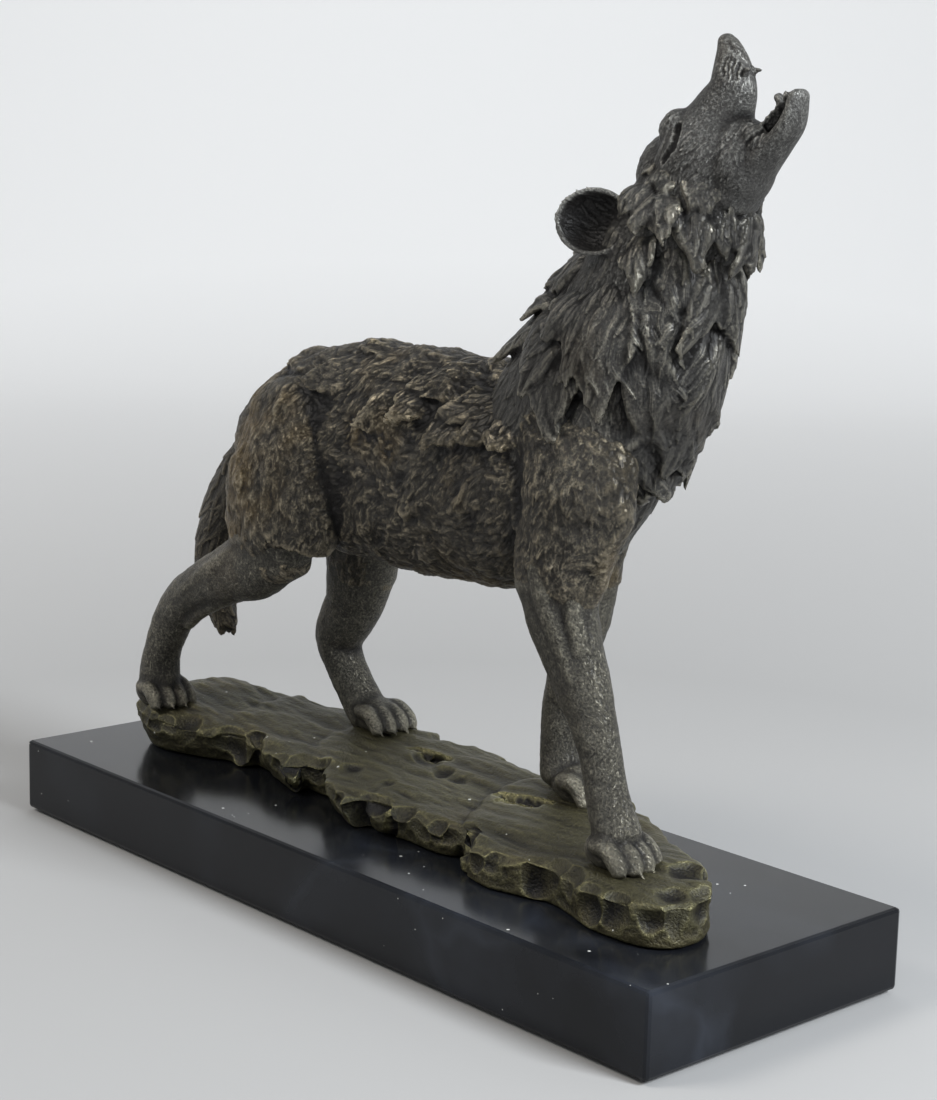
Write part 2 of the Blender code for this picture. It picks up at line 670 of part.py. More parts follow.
def make_casting(material):
    """The wolf and its ledge, one bronze casting with two stud holes under it."""
    mesh = bmesh.new()
    add_limb(mesh, flat_path(TRUNK), crest=0.12)
    add_limb(mesh, flat_path(NECK))
    for limb in (RIGHT_FORELEG, LEFT_FORELEG, RIGHT_THIGH, RIGHT_SHANK, LEFT_THIGH, LEFT_SHANK, TAIL):
        add_limb(mesh, limb)
    for x, y in PAWS:
        add_paw(mesh, x, y)
    add_head(mesh)
    lay_locks(mesh, NECK, MANE_LOCKS)
    lay_locks(mesh, TRUNK, FLANK_LOCKS)
    for plate in range(len(PLATES)):
        add_plate(mesh, plate)
    drawn = Matrix.Translation((0.0, 0.0, -SLAB_TOP))
    bmesh.ops.scale(mesh, vec=[FIGURE_SCALE] * 3, space=drawn, verts=mesh.verts[:])
    casting = new_object("wolf_and_ledge_casting", mesh, material)
    skin = casting.modifiers.new("skin", "REMESH")
    skin.mode = "VOXEL"
    skin.voxel_size = SKIN_VOXEL * MM
    casting.data = evaluated_mesh(casting)
    rough_cast(casting.data)
    soften = casting.modifiers.new("soften", "SMOOTH")
    soften.iterations = 2
    triangles = sum(len(polygon.vertices) - 2 for polygon in casting.data.polygons)
    facets = casting.modifiers.new("facets", "DECIMATE")
    facets.ratio = min(CASTING_FACETS / triangles, 1.0)
    facets.use_collapse_triangulate = True
    depth = 40.0
    below = new_box("seat_cutter", (SLAB_LENGTH * 2, SLAB_WIDTH * 2, depth),
                    (0, 0, LEDGE_SEAT - depth / 2))
    cut(casting, below)
    for index, place in enumerate(STUD_PLACES):
        radius = STUD_DIAMETER / 2 + SEAT_GAP
        top = LEDGE_SEAT + STUD_ENGAGEMENT + SEAT_GAP
        hole = new_cylinder(f"tapping_cutter_{index + 1}", radius, LEDGE_SEAT - 5, top, place, 24)
        cut(casting, hole)
    return casting


def make_slab(material):
    """The polished slab, chamfered all round, bored and counterbored for the studs."""
    slab = new_box("marble_slab", (SLAB_LENGTH, SLAB_WIDTH, SLAB_THICKNESS),
                   (0, 0, (SLAB_BASE + SLAB_TOP) / 2), material)
    chamfer = slab.modifiers.new("chamfer", "BEVEL")
    chamfer.width = SLAB_CHAMFER * MM
    chamfer.segments = 2
    for index, place in enumerate(STUD_PLACES):
        bore = new_cylinder(f"bore_cutter_{index + 1}", STUD_DIAMETER / 2 + STUD_HOLE_CLEARANCE,
                            SLAB_BASE - 5, SLAB_TOP + 5, place, 32)
        sink = new_cylinder(f"counterbore_cutter_{index + 1}", COUNTERBORE_DIAMETER / 2,
                            SLAB_BASE - 5, SLAB_BASE + COUNTERBORE_DEPTH, place)
        cut(slab, bore)
        cut(slab, sink)
    return slab


def make_fixings(steel):
    """A stud, a washer and a nut at each place."""
    for index, place in enumerate(STUD_PLACES):
        shoulder = SLAB_BASE + COUNTERBORE_DEPTH
        washer_top = shoulder - SEAT_GAP
        washer_low = washer_top - WASHER_THICKNESS
        nut_top = washer_low - SEAT_GAP
        nut_low = nut_top - NUT_HEIGHT
        new_cylinder(f"stud_{index + 1}", STUD_DIAMETER / 2, nut_low - STUD_TAIL,
                     LEDGE_SEAT + STUD_ENGAGEMENT, place, 24, steel)
        hole = STUD_DIAMETER / 2 + SEAT_GAP
        washer = new_cylinder(f"washer_{index + 1}", WASHER_DIAMETER / 2, washer_low, washer_top,
                              place, 40, steel)
        cut(washer, new_cylinder(f"washer_cutter_{index + 1}", hole, washer_low - 1, washer_top + 1,
                                 place, 24))
        corner = NUT_ACROSS_FLATS / 2 / math.cos(math.pi / 6)
        nut = new_cylinder(f"nut_{index + 1}", corner, nut_low, nut_top, place, 6, steel)
        cut(nut, new_cylinder(f"nut_cutter_{index + 1}", hole, nut_low - 1, nut_top + 1, place, 24))


def make_pads(felt):
    """A felt pad under each corner of the slab."""
    across = SLAB_LENGTH / 2 - PAD_INSET
    deep = SLAB_WIDTH / 2 - PAD_INSET
    for name, x, y in (("tail_right", -across, -deep), ("tail_left", -across, deep),
                       ("nose_right", across, -deep), ("nose_left", across, deep)):
        new_cylinder(f"felt_pad_{name}", PAD_DIAMETER / 2, 0.0, PAD_TOP, (x, y), 32, felt)


def main():
    for item in list(bpy.data.objects):
        bpy.data.objects.remove(item)
    make_casting(new_material("bronze", (0.10, 0.075, 0.04), 0.42, 0.9))
    make_slab(new_material("black_marble", (0.008, 0.009, 0.011), 0.12, 0.0))
    make_fixings(new_material("zinc_steel", (0.5, 0.5, 0.5), 0.35, 1.0))
    make_pads(new_material("felt", (0.02, 0.05, 0.03), 0.95, 0.0))


main()
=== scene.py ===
"""Howling wolf figurine in patinated bronze on a black marble slab: the finished look."""
import math
import random

import bmesh
import bpy
import numpy as np
from bpy.props import FloatProperty, FloatVectorProperty, PointerProperty
from bpy.types import Operator, Panel, PropertyGroup
from mathutils import Matrix, Vector, kdtree, noise


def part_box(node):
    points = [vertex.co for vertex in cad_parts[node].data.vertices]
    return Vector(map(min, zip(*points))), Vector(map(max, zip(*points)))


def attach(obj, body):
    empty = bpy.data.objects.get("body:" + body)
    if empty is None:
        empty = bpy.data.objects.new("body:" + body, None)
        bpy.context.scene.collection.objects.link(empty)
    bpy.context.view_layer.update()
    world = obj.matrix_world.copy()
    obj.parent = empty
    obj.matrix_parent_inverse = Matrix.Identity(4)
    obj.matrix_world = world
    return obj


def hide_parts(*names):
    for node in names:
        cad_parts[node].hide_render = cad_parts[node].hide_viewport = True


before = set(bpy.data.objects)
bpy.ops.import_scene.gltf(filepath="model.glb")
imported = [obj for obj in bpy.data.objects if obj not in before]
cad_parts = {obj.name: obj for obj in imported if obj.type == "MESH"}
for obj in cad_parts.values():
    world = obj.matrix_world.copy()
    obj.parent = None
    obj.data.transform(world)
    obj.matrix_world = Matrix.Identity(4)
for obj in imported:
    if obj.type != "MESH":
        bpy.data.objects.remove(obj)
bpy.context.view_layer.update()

bl_info = {
    "name": "Howling Wolf Figurine",
    "version": (1, 0, 0),
    "blender": (4, 5, 0),
    "location": "View3D > Sidebar > Wolf",
    "description": "Builds a bronze wolf on its rock ledge and marble slab",
    "category": "Object",
}

MM = 0.001
CASTING = "wolf_and_ledge_casting"
SLAB_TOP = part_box("marble_slab")[1][2] / MM
LEDGE_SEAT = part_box(CASTING)[0][2] / MM
LEDGE_HEIGHT = 17.0
GROUND = SLAB_TOP + LEDGE_HEIGHT

# Slope of the ledge's top, as the casting has it
LEDGE_CROSS_SLOPE = 0.12
LEDGE_TAIL_START = -90
LEDGE_TAIL_RUN = 40
LEDGE_TAIL_RISE = 4.0
LEDGE_NOSE_START = 90
LEDGE_NOSE_RUN = 65
LEDGE_NOSE_RISE = 5.0
LEDGE_LIP_DROP = 2.6
LEDGE_UNDERCUT = (6.5, 6.5, 6.0, 1.0)
PLATE_RISE = 1.9
PLATE_FALL = 1.7

# The casting's own forms, in millimetres: x, height above the ledge, half depth, half width
TRUNK = (
    (-103, 113, 14, 12),
    (-92, 116, 27, 19),
    (-72, 118, 37, 24),
    (-42, 122, 41, 25),
    (-8, 123, 42.8, 25),
    (26, 122.5, 42.2, 27),
    (60, 124, 40, 28),
    (85, 132, 32, 26),
    (98, 139, 21, 19),
    (106, 143, 12, 12),
)
NECK = (
    (70, 124, 38, 25),
    (83, 141, 38, 27),
    (94, 158, 35, 27),
    (104.5, 173, 33, 26),
    (112, 185, 31, 25),
    (121.5, 205, 26.5, 21.5),
    (129.5, 218, 22, 19),
    (135.5, 229, 20, 17),
    (139.5, 239, 19, 16),
    (141.5, 246, 16, 13.5),
    (143.5, 252, 11.3, 9.8),
    (146.8, 258, 9, 7.8),
    (146.8, 264, 7.6, 6.8),
    (145.3, 270, 5.8, 5.4),
    (143, 274.5, 3.2, 3.2),
)
# The muzzle runs on from the skull, a little slimmer than the casting's; the jaw hangs open below it
MUZZLE = (
    (146.4, 258, 8.6, 7.6),
    (146.2, 264, 7.0, 6.6),
    (144.9, 270, 5.0, 5.0),
    (142.8, 274.5, 2.8, 3.0),
)
JAW = (
    (149, 227, 9.5, 11),
    (158.5, 235.6, 6.0, 8.6),
    (166.2, 242.4, 4.2, 6.8),
    (171.6, 248.8, 3.6, 5.8),
    (173.8, 257, 2.6, 4.4),
)
TONGUE = (
    (158, 243, 2.6, 3.4),
    (163, 246.5, 2.4, 3.4),
    (166.5, 250.5, 2.0, 3.2),
    (167.4, 254.5, 1.6, 2.6),
    (165.6, 256.6, 1.5, 2.2),
)
# Drawn on the right side of the head: x, y, height
EYE = (134.2, -12.4, 241.5)
EYE_SLOT = ((135.2, -12.8, 247), (136.1, -15.4, 241.5), (132, -15.4, 236.5))
EYE_LID = ((131.5, -10.2, 249.5, 1.5, 1.3), (131.6, -12.8, 243, 1.7, 1.5), (128, -14, 236, 1.4, 1.2))
NOSTRIL = ((146.5, -3.6, 275), (149.5, -4.4, 273.2), (150.8, -3.2, 271))
WHISKER_LINES = (
    ((148.6, -6.4, 269.2), (147.6, -7.4, 266.4), (148.4, -7.8, 263.4)),
    ((150.1, -5.8, 269.4), (149.3, -6.8, 266.2), (150.2, -7.2, 262.6)),
    ((151.4, -5.0, 268.8), (150.9, -6.0, 265.8), (151.8, -6.4, 262.4)),
    ((152.6, -4.2, 267.8), (152.3, -5.2, 265.2), (153.1, -5.6, 262.4)),
    ((153.6, -3.2, 266.6), (153.5, -4.2, 264.6), (154.2, -4.6, 263.0)),
)
TEETH = 6
# Edge of the lower lip
JAW_RIM = ((160, -7.6, 242.5), (165, -6.8, 246.5), (169, -5.8, 251), (172, -4.0, 256))

# Limbs and tail, from the body outwards: x, y, height, half depth, half width
RIGHT_FORELEG = (
    (88, -15, 146, 26, 13),
    (102, -19, 128, 25, 14),
    (100, -21, 111, 22, 12.5),
    (95.5, -21, 94, 18.5, 11.2),
    (98.5, -20.5, 82, 14.3, 10.3),
    (103, -20, 70, 12, 9.4),
    (109.5, -20, 57, 10.3, 8.6),
    (115.5, -20, 44, 8.5, 7.6),
    (119.5, -20, 32, 7.7, 7.1),
    (123, -20, 21, 8, 7.4),
    (127, -20, 11, 8.8, 8.5),
)
LEFT_FORELEG = (
    (80, 14, 146, 25, 13),
    (74, 19, 123, 22, 13),
    (69, 20, 103, 18, 12),
    (68, 20, 88, 14.5, 10.7),
    (68, 20, 76, 12.3, 9.6),
    (65, 20, 64, 10.8, 8.8),
    (62.5, 20, 50, 9.4, 8.2),
    (59.6, 20, 36, 8.6, 7.7),
    (58.3, 20, 21, 8.2, 7.6),
    (60, 20, 11, 8.8, 8.4),
)
RIGHT_THIGH = (
    (-66, -12, 136, 25, 13),
    (-60, -19, 118, 30, 15),
    (-59, -22, 100, 33, 14.5),
    (-62, -23, 86, 27, 13),
    (-60, -23, 76, 15, 10),
)
RIGHT_SHANK = (
    (-54, -23, 86, 13, 10.5),
    (-71, -23.5, 75.5, 15, 11.5),
    (-92, -23, 66.5, 12.3, 9.5),
    (-114, -22.5, 57, 10.3, 8.5),
    (-129, -22, 47, 9.7, 8.2),
    (-138.5, -22, 34, 8.8, 7.8),
    (-144, -22, 22, 8.6, 8),
    (-145, -22, 11, 9.5, 9),
)
LEFT_THIGH = (
    (-66, 12, 136, 25, 13),
    (-61, 19, 118, 29, 15),
    (-60, 22, 98, 26, 14),
    (-62, 22, 81, 20.5, 12.5),
    (-64, 22, 68, 18, 11.5),
    (-69, 22, 51, 13.3, 10),
    (-76, 22, 39, 11, 9),
)
LEFT_SHANK = (
    (-73, 22, 50, 11, 9.2),
    (-77.5, 22, 38, 10.6, 9),
    (-74, 22, 28, 9.2, 8.3),
    (-66, 22, 18, 8.4, 8),
    (-57, 22, 8, 8.6, 8.6),
)
TAIL = (
    (-88, 4, 122, 14, 11),
    (-101, 5, 117, 12.5, 9.5),
    (-114, 6, 109, 12.5, 9.5),
    (-127.5, 6.5, 96, 12.5, 9.5),
    (-138.5, 7, 81, 12, 9.2),
    (-144.5, 7, 64, 10.5, 8.3),
    (-143, 7, 48, 8.5, 7),
    (-136, 6.5, 35, 4.5, 4.5),
)
# Tendons and shins standing out on the legs
TENDONS = (
    ((94, -29.6, 104, 6, 3.4), (99, -29.6, 88, 5, 3.4), (105, -27.2, 72, 4, 3.0), (112, -25.8, 56, 3.2, 2.6),
     (118, -25.2, 40, 2.8, 2.4)),
    ((86, -24, 92, 5, 4), (90, -25, 80, 4.2, 3.6), (96.5, -24, 66, 3.4, 3.2), (104, -23, 52, 3, 2.8)),
    ((108, -24, 100, 5, 5), (108, -25, 86, 4, 4), (110.5, -24, 72, 3.4, 3.4)),
    ((-66, -31, 84, 6, 3), (-84, -31, 74, 5, 3), (-104, -29.4, 64, 4, 2.8), (-122, -28.2, 53, 3.2, 2.6)),
    ((-90, -24, 58, 3.4, 3.4), (-108, -24, 49.5, 3.2, 3.2), (-122, -23, 41, 3, 3)),
)
TAIL_STRANDS = 9

# Paws and ears
PAWS = ((131, -20), (75, 19), (-141, -22), (-47, 22))
PAW_LENGTH = 31.0
PAW_WIDTH = 22.0
PAW_HEIGHT = 15.0
PAW_INSET = 4
PAW_LET_IN = 1.6
TOE_PLACES = (-0.74, -0.26, 0.26, 0.74)
# Each toe from knuckle to tip, as shares of the paw: ahead, spread, height, then depth and width of the toe
TOE_JOINTS = ((-0.20, -0.1, 0.58, 1.0, 1.0), (0.02, 0.0, 0.6, 1.2, 1.12), (0.17, 0.06, 0.4, 1.2, 1.1),
              (0.24, 0.08, 0.2, 1.0, 1.0))
EAR_PLACE = (109.5, 24.0, 216.0)
EAR_AXIS = (0.42, 0.88, 0.10)
EAR_RADII = (13.4, 11.4)
EAR_DEPTH = 7.5
EAR_WALL = 1.7
EAR_SIDES = 48

# Coats: tuft length, width and height, all in millimetres
MANE_COAT = (15.0, 3.6, 0.5)
RUFF_COAT = (11.0, 3.2, 0.55)
BODY_COAT = (10.0, 4.0, 0.5)
HAUNCH_COAT = (8.5, 3.6, 0.36)
LEG_COAT = (5.5, 2.5, 0.10)
FACE_COAT = (4.6, 1.9, 0.30)
EAR_COAT = (9.0, 2.6, 0.35)
TAIL_COAT = (18.0, 3.4, 0.7)
PAW_COAT = (5.0, 2.4, 0.08)
BARE = (2.0, 2.0, 0.02)

# Laid locks of the right side: start and end as share of the neck's path and degrees from the nape,
# then width, thickness and the tip's lift
MANE_LOCKS = (
    (0.47, -58, 0.400, -76, 12, 6, 5),
    (0.47, -77, 0.405, -98, 12, 6, 6),
    (0.48, -98, 0.420, -122, 13, 6, 6),
    (0.49, -120, 0.405, -146, 14, 6, 7),
    (0.50, -142, 0.430, -168, 12, 6, 5),
    (0.51, -165, 0.410, -190, 13, 6, 7),
    (0.39, -62, 0.310, -74, 13, 6, 4),
    (0.40, -85, 0.330, -116, 14, 6, 4.5),
    (0.41, -108, 0.325, -138, 15, 6, 4.5),
    (0.41, -140, 0.330, -166, 13, 6, 5),
    (0.42, -176, 0.295, -208, 16, 7, 6),
    (0.40, -20, 0.300, -14, 17, 7, 4),
    (0.35, -36, 0.215, -26, 17, 7, 5),
    (0.28, -12, 0.170, -6, 18, 7, 5),
    (0.26, -38, 0.165, -40, 18, 7, 5),
    (0.20, -30, 0.080, -24, 20, 7, 5),
    (0.31, -66, 0.195, -72, 20, 7, 5),
    (0.33, -84, 0.180, -96, 20, 7, 6.5),
    (0.34, -100, 0.175, -124, 26, 8, 8),
    (0.36, -118, 0.265, -150, 20, 8, 6),
    (0.33, -140, 0.135, -192, 30, 9, 9),
    (0.34, -178, 0.185, -204, 20, 8, 7),
    (0.25, -188, 0.150, -212, 18, 8, 6),
    (0.24, -120, 0.100, -184, 27, 8, 6.5),
    (0.24, -62, 0.120, -84, 24, 7, 4.5),
    (0.22, -84, 0.110, -112, 25, 7, 5),
    (0.18, -104, 0.090, -154, 26, 8, 6.5),
    (0.19, -160, 0.085, -190, 20, 8, 3.5),
    (0.17, -184, 0.075, -202, 18, 8, 2.5),
)
LOCK_ROOT = -4.5

# Laid tufts of the right flank, on the trunk's path in the same way
FLANK_LOCKS = (
    (0.62, -28, 0.51, -46, 18, 5, 2.5),
    (0.70, -38, 0.59, -58, 18, 5, 2.5),
    (0.56, -48, 0.50, -72, 16, 6, 3.5),
    (0.63, -50, 0.575, -74, 17, 6, 4),
    (0.70, -50, 0.640, -72, 17, 6, 3.5),
    (0.77, -46, 0.700, -70, 18, 6, 3.5),
    (0.50, -56, 0.43, -74, 16, 5, 3),
    (0.40, -30, 0.31, -50, 18, 5, 2.5),
    (0.34, -8, 0.23, -16, 18, 5, 1),
    (0.46, -4, 0.35, -12, 18, 5, 1),
    (0.58, -6, 0.47, -14, 18, 5, 0.5),
    (0.72, -4, 0.60, -12, 18, 5, 0.5),
    (0.60, -86, 0.53, -112, 16, 5, 2.5),
    (0.70, -84, 0.62, -108, 16, 5, 2.5),
    (0.52, -112, 0.43, -134, 15, 5, 2.5),
    (0.62, -120, 0.54, -142, 15, 5, 2.5),
    (0.72, -118, 0.64, -146, 15, 5, 2.5),
    (0.79, -88, 0.72, -116, 17, 6, 3),
)
# Small cheek tufts over the seam of head and mane
CHEEK_LOCKS = (
    (0.535, -44, 0.47, -54, 8, 3.0, 1.5),
    (0.525, -66, 0.465, -78, 9, 3.2, 1.8),
    (0.525, -86, 0.460, -98, 9, 3.2, 1.8),
    (0.55, -106, 0.48, -120, 9, 3.2, 1.6),
    (0.55, -126, 0.48, -138, 9, 3.2, 1.8),
    (0.56, -148, 0.49, -158, 9, 3.2, 1.8),
    (0.56, -170, 0.49, -180, 9, 3.0, 1.6),
)
LOCK_SEED = 11

# A lock's half width and thickness from root to tip, as shares; wide locks are broad sheets of finer wisps
LOCK_SHAPE = ((0.55, 0.7), (0.95, 0.95), (1.06, 1.0), (0.90, 0.85), (0.52, 0.55), (0.07, 0.2))
WISP_WIDTH = 4.0
SHEET_WIDTH = 15

# Outlines of the ledge's four shale plates, near side and far side
PLATES = (
    (((-163, -12), (-156, -27), (-138, -33), (-113, -27), (-98, -18), (-86, -16)),
     ((-84, 30), (-116, 26), (-142, 21), (-153, 17), (-160, 8))),
    (((-112, -8), (-86, -15), (-77, -20), (-66, -23), (-47, -27), (-48, -19), (-35, -18), (-20, -12)),
     ((-20, 36), (-45, 38), (-64, 34), (-98, 29), (-112, 24))),
    (((-60, -4), (-40, -16), (-28, -26), (-15, -32), (0, -37), (3, -31), (12, -33), (30, -30), (50, -29),
      (58, -18)),
     ((60, 30), (24, 34), (8, 36), (-10, 37), (-40, 34), (-62, 20))),
    (((38, 2), (47, -15), (62, -33), (80, -39), (92, -37), (100, -35), (107, -33), (118, -35),
      (135, -40), (150, -40), (161, -37), (167, -29), (166, -17), (158, -6)),
     ((142, 3), (120, 14), (100, 26), (76, 33), (50, 32), (38, 20))),
)
# Shell-shaped chips broken out of the ledge: centre and radius of each
CHIPS = (
    (-6, 11, 62, 14),
    (9, 6, 61.5, 13.5),
    (20, 3, 60, 12),
    (-20, -19, 62, 16),
    (2, -21, 61, 15),
    (24, -19, 62, 16),
    (-118, -28, 54, 10),
    (-109, -26, 54, 9),
    (152, -12, 60, 12),
    (142, 6, 62, 12),
    (161, -30, 58, 12),
)
FACET_SEED = 4
CHIP_LIMIT = 4.5
CHIP_WANDER = 2.2

# Cracks along the bedding: x, y and height above the ledge's mean top
CRACKS = (
    ((44, 3, 1), (54, 5, 1), (66, 7.5, 1)),
    ((50, -1, 1), (58, 1.5, 1), (64, 2.5, 1)),
    ((-20, 15, 1), (-14, 17, 0), (-2, 17, 0)),
)

# Stage, in metres: the backdrop's curve, and each lamp's place, aim, size, power and colour
BACKDROP_BEHIND = (-0.742, 0.670, 0.0)
BACKDROP_BESIDE = (0.670, 0.742, 0.0)
BACKDROP_HALF_WIDTH = 20.0
BACKDROP_FRONT = -30.0
BACKDROP_BEND = 1.6
BACKDROP_RADIUS = 0.9
BACKDROP_TOP = 4.5
WARM_LIGHT = (1.0, 0.95, 0.88)
COOL_LIGHT = (0.90, 0.95, 1.0)
LAMPS = (
    ("key", (-0.6, -1.2, 1.5), (0.0, 0.0, 0.15), 0.6, 17.0, WARM_LIGHT),
    ("side", (1.25, 0.15, 0.9), (0.0, 0.0, 0.2), 0.4, 32.0, COOL_LIGHT),
    ("wall", (-0.8, 0.8, 2.3), (-1.9, 1.75, 0.7), 1.2, 6.0, COOL_LIGHT),
)
CAMERA_PLACE = (0.6198, -0.5361, 0.2841)
CAMERA_AIM = (-0.7303, 0.6597, -0.177)
CAMERA_ROLL = 1.418
CAMERA_LENS = 71.4


def grain_size(piece, size):
    """The setting for the spacing of a piece's surface points."""
    return FloatProperty(
        name=f"{piece} grain", description=f"Spacing of the {piece.lower()}'s surface points, in millimetres",
        default=size, min=0.35, max=3.0)


def finish_colour(name, description, colour):
    """The setting for one colour of the finishes."""
    return FloatVectorProperty(
        name=name, description=description, subtype="COLOR", default=colour, min=0.0, max=1.0)


class WolfSettings(PropertyGroup):
    """Sizes and colours of the figurine's finish."""

    head_grain: grain_size("Head", 0.56)
    mane_grain: grain_size("Mane", 0.8)
    trunk_grain: grain_size("Trunk", 0.94)
    leg_grain: grain_size("Leg", 0.82)
    ledge_grain: grain_size("Ledge", 0.85)
    strand_depth: FloatProperty(
        name="Strand depth", description="Depth of the strands combed into each tuft, in millimetres",
        default=0.07, min=0.0, max=2.0)
    overhang: FloatProperty(
        name="Overhang", description="How far a tuft's tip leans over, as a share of its height",
        default=0.7, min=0.0, max=2.0)
    # The dark colour goes into the hollows: the patina there, and painted shade as well
    bronze_dark: finish_colour("Dark patina", "Colour of the bronze in its hollows", (0.006, 0.005, 0.0045))
    bronze_brown: finish_colour("Brown patina", "Colour of the bronze's plain surface", (0.032, 0.028, 0.022))
    bronze_gold: finish_colour("Rubbed bronze", "Colour of the bronze where it is rubbed", (0.36, 0.31, 0.22))
    ledge_olive: finish_colour("Ledge patina", "Colour of the rock ledge", (0.055, 0.050, 0.026))
    marble_black: finish_colour("Marble", "Ground colour of the slab", (0.006, 0.0065, 0.008))
    marble_vein: finish_colour("Veins", "Colour of the marble's veins", (0.020, 0.023, 0.030))


class Clay:
    """Closed solids in millimetres, gathered before they are fused, with the lie of their hair."""

    def __init__(self):
        self.points = []
        self.faces = []
        self.flows = []
        self.grains = []
        self.coats = []
        self.count = 0
        self.strip = 0

    def skin(self, rings, flows=None, grains=None, coat=BARE):
        """Skin rings of points as one closed solid, and keep the lie of the hair on it."""
        rings = np.asarray(rings, dtype=float)
        rows, sides = rings.shape[:2]
        first = self.count
        self.points.append(rings.reshape(-1, 3))
        for k in range(rows - 1):
            for i in range(sides):
                j = (i + 1) % sides
                low = first + k * sides
                self.faces.append((low + i, low + j, low + sides + j, low + sides + i))
        self.faces.append(tuple(range(first + sides - 1, first - 1, -1)))
        last = first + (rows - 1) * sides
        self.faces.append(tuple(range(last, last + sides)))
        self.count += rows * sides
        if flows is not None:
            self.flows.append(np.asarray(flows).reshape(-1, 3))
            marked = np.asarray(grains, dtype=float).reshape(-1, 2)
            self.grains.append(np.c_[marked, np.full(len(marked), 7.31 * self.strip)])
            self.coats.append(np.zeros((len(marked), 1)) + np.array(coat))
            self.strip += 1

    def mesh(self, name):
        """The solids as one Blender mesh, in metres."""
        data = bpy.data.meshes.new(name)
        data.from_pydata((np.vstack(self.points) * MM).tolist(), [], self.faces)
        shape = bmesh.new()
        shape.from_mesh(data)
        bmesh.ops.recalc_face_normals(shape, faces=shape.faces[:])
        shape.to_mesh(data)
        shape.free()
        return data


def smooth(rows, steps):
    """Catmull-Rom curve through the rows, with a number of steps for each gap between two."""
    rows = np.array(rows, dtype=float)
    padded = np.vstack([2 * rows[0] - rows[1], rows, 2 * rows[-1] - rows[-2]])
    curve = []
    for index in range(len(rows) - 1):
        a, b, c, d = padded[index:index + 4]
        for step in range(steps):
            t = step / steps
            curve.append(0.5 * (2 * b + (c - a) * t + (2 * a - 5 * b + 4 * c - d) * t ** 2
                                + (3 * b - a - 3 * c + d) * t ** 3))
    curve.append(rows[-1])
    return np.array(curve)


def flat_path(stations):
    """Stations in the middle plane: the sideways place is nought."""
    return [(x, 0.0, z, depth, width) for x, z, depth, width in stations]


def unit(rows):
    """Rows of vectors, each made one long."""
    return rows / np.linalg.norm(rows, axis=1)[:, None]


def walk(points):
    """How far along a line each of its points lies."""
    return np.r_[0.0, np.cumsum(np.linalg.norm(np.diff(points, axis=0), axis=1))]


def circle(sides):
    """Angles spaced evenly round a ring."""
    return np.linspace(0.0, 2 * math.pi, sides, endpoint=False)


def frames(centres):
    """The way forward, the side and the back of each point of a path."""
    along = unit(np.gradient(centres, axis=0))
    side = unit(np.array([0.0, 1.0, 0.0]) - along * along[:, 1:2])
    return along, side, np.cross(along, side)


CAP_ANGLES = (82, 66, 48, 30, 14)


def add_limb(clay, stations, way=1.0, coat=LEG_COAT, steps=8, sides=36, crest=0.0, scoop=0.0):
    """Loft oval sections along a path with rounded ends; way is 1 where hair lies down the path.
    A crest narrows the back of each section, and a scoop hollows it between two rims."""
    rows = smooth(stations, steps)
    rows[:, 2] += GROUND
    along, side, back = frames(rows[:, :3])
    walked = walk(rows[:, :3])
    turn = circle(sides)
    cosine, sine = np.cos(turn)[:, None], np.sin(turn)[:, None]
    rings, flows, grains = [], [], []

    def ring(k, scale, push):
        depth = rows[k, 3] * scale * (cosine - scoop * cosine.clip(0.0) ** 4)
        width = rows[k, 4] * scale * sine * (1 - crest * cosine)
        rings.append(rows[k, :3] + along[k] * push + back[k] * depth + side[k] * width)
        flows.append(np.tile(along[k] * way, (sides, 1)))
        grains.append(np.c_[turn * rows[k, 3:5].mean(), np.full(sides, (walked[k] + push) * way)])

    def cap(k, angles, outward):
        height = 0.35 * (rows[k, 3] + rows[k, 4]) * outward
        for degrees in angles:
            ring(k, math.cos(math.radians(degrees)), height * math.sin(math.radians(degrees)))

    cap(0, CAP_ANGLES, -1)
    for k in range(len(rows)):
        ring(k, 1.0, 0.0)
    cap(-1, CAP_ANGLES[::-1], 1)
    clay.skin(rings, flows, grains, coat)


def add_ball(clay, centre, radii, axis=(0.0, 0.0, 1.0), sides=24, flow=(0, 0, -1), coat=BARE):
    """An ellipsoid whose last radius lies along the axis."""
    turn = Vector((0, 0, 1)).rotation_difference(Vector(axis)).to_matrix()
    spin = circle(sides)
    rings = []
    for degrees in np.linspace(-84, 84, sides // 2):
        tilt = math.radians(degrees)
        local = np.c_[radii[0] * np.cos(spin) * math.cos(tilt), radii[1] * np.sin(spin) * math.cos(tilt),
                      np.full(sides, radii[2] * math.sin(tilt))]
        rings.append(np.array(centre) + local @ np.array(turn).T)
    grains = [np.c_[spin * radii[0], np.full(sides, k * radii[2] * 0.2)] for k in range(len(rings))]
    clay.skin(rings, np.tile(np.array(flow, dtype=float), (len(rings) * sides, 1)), grains, coat)


def ground(x, y):
    """Height of the ledge's top surface before its plates are stepped."""
    height = GROUND + LEDGE_CROSS_SLOPE * y
    height += LEDGE_TAIL_RISE * min(max((LEDGE_TAIL_START - x) / LEDGE_TAIL_RUN, 0.0), 1.0)
    height += LEDGE_NOSE_RISE * min(max((x - LEDGE_NOSE_START) / LEDGE_NOSE_RUN, 0.0), 1.0)
    return height


def ends_of(plate):
    """Where a plate starts and ends along the ledge."""
    along = [point[0] for side in PLATES[plate] for point in side]
    return min(along), max(along)


def stepped(plate, x):
    """How far a plate stands above the ledge's mean top: high at its tail end, low at its nose end."""
    start, end = ends_of(plate)
    return PLATE_RISE * (1.0 - PLATE_FALL * (x - start) / (end - start))


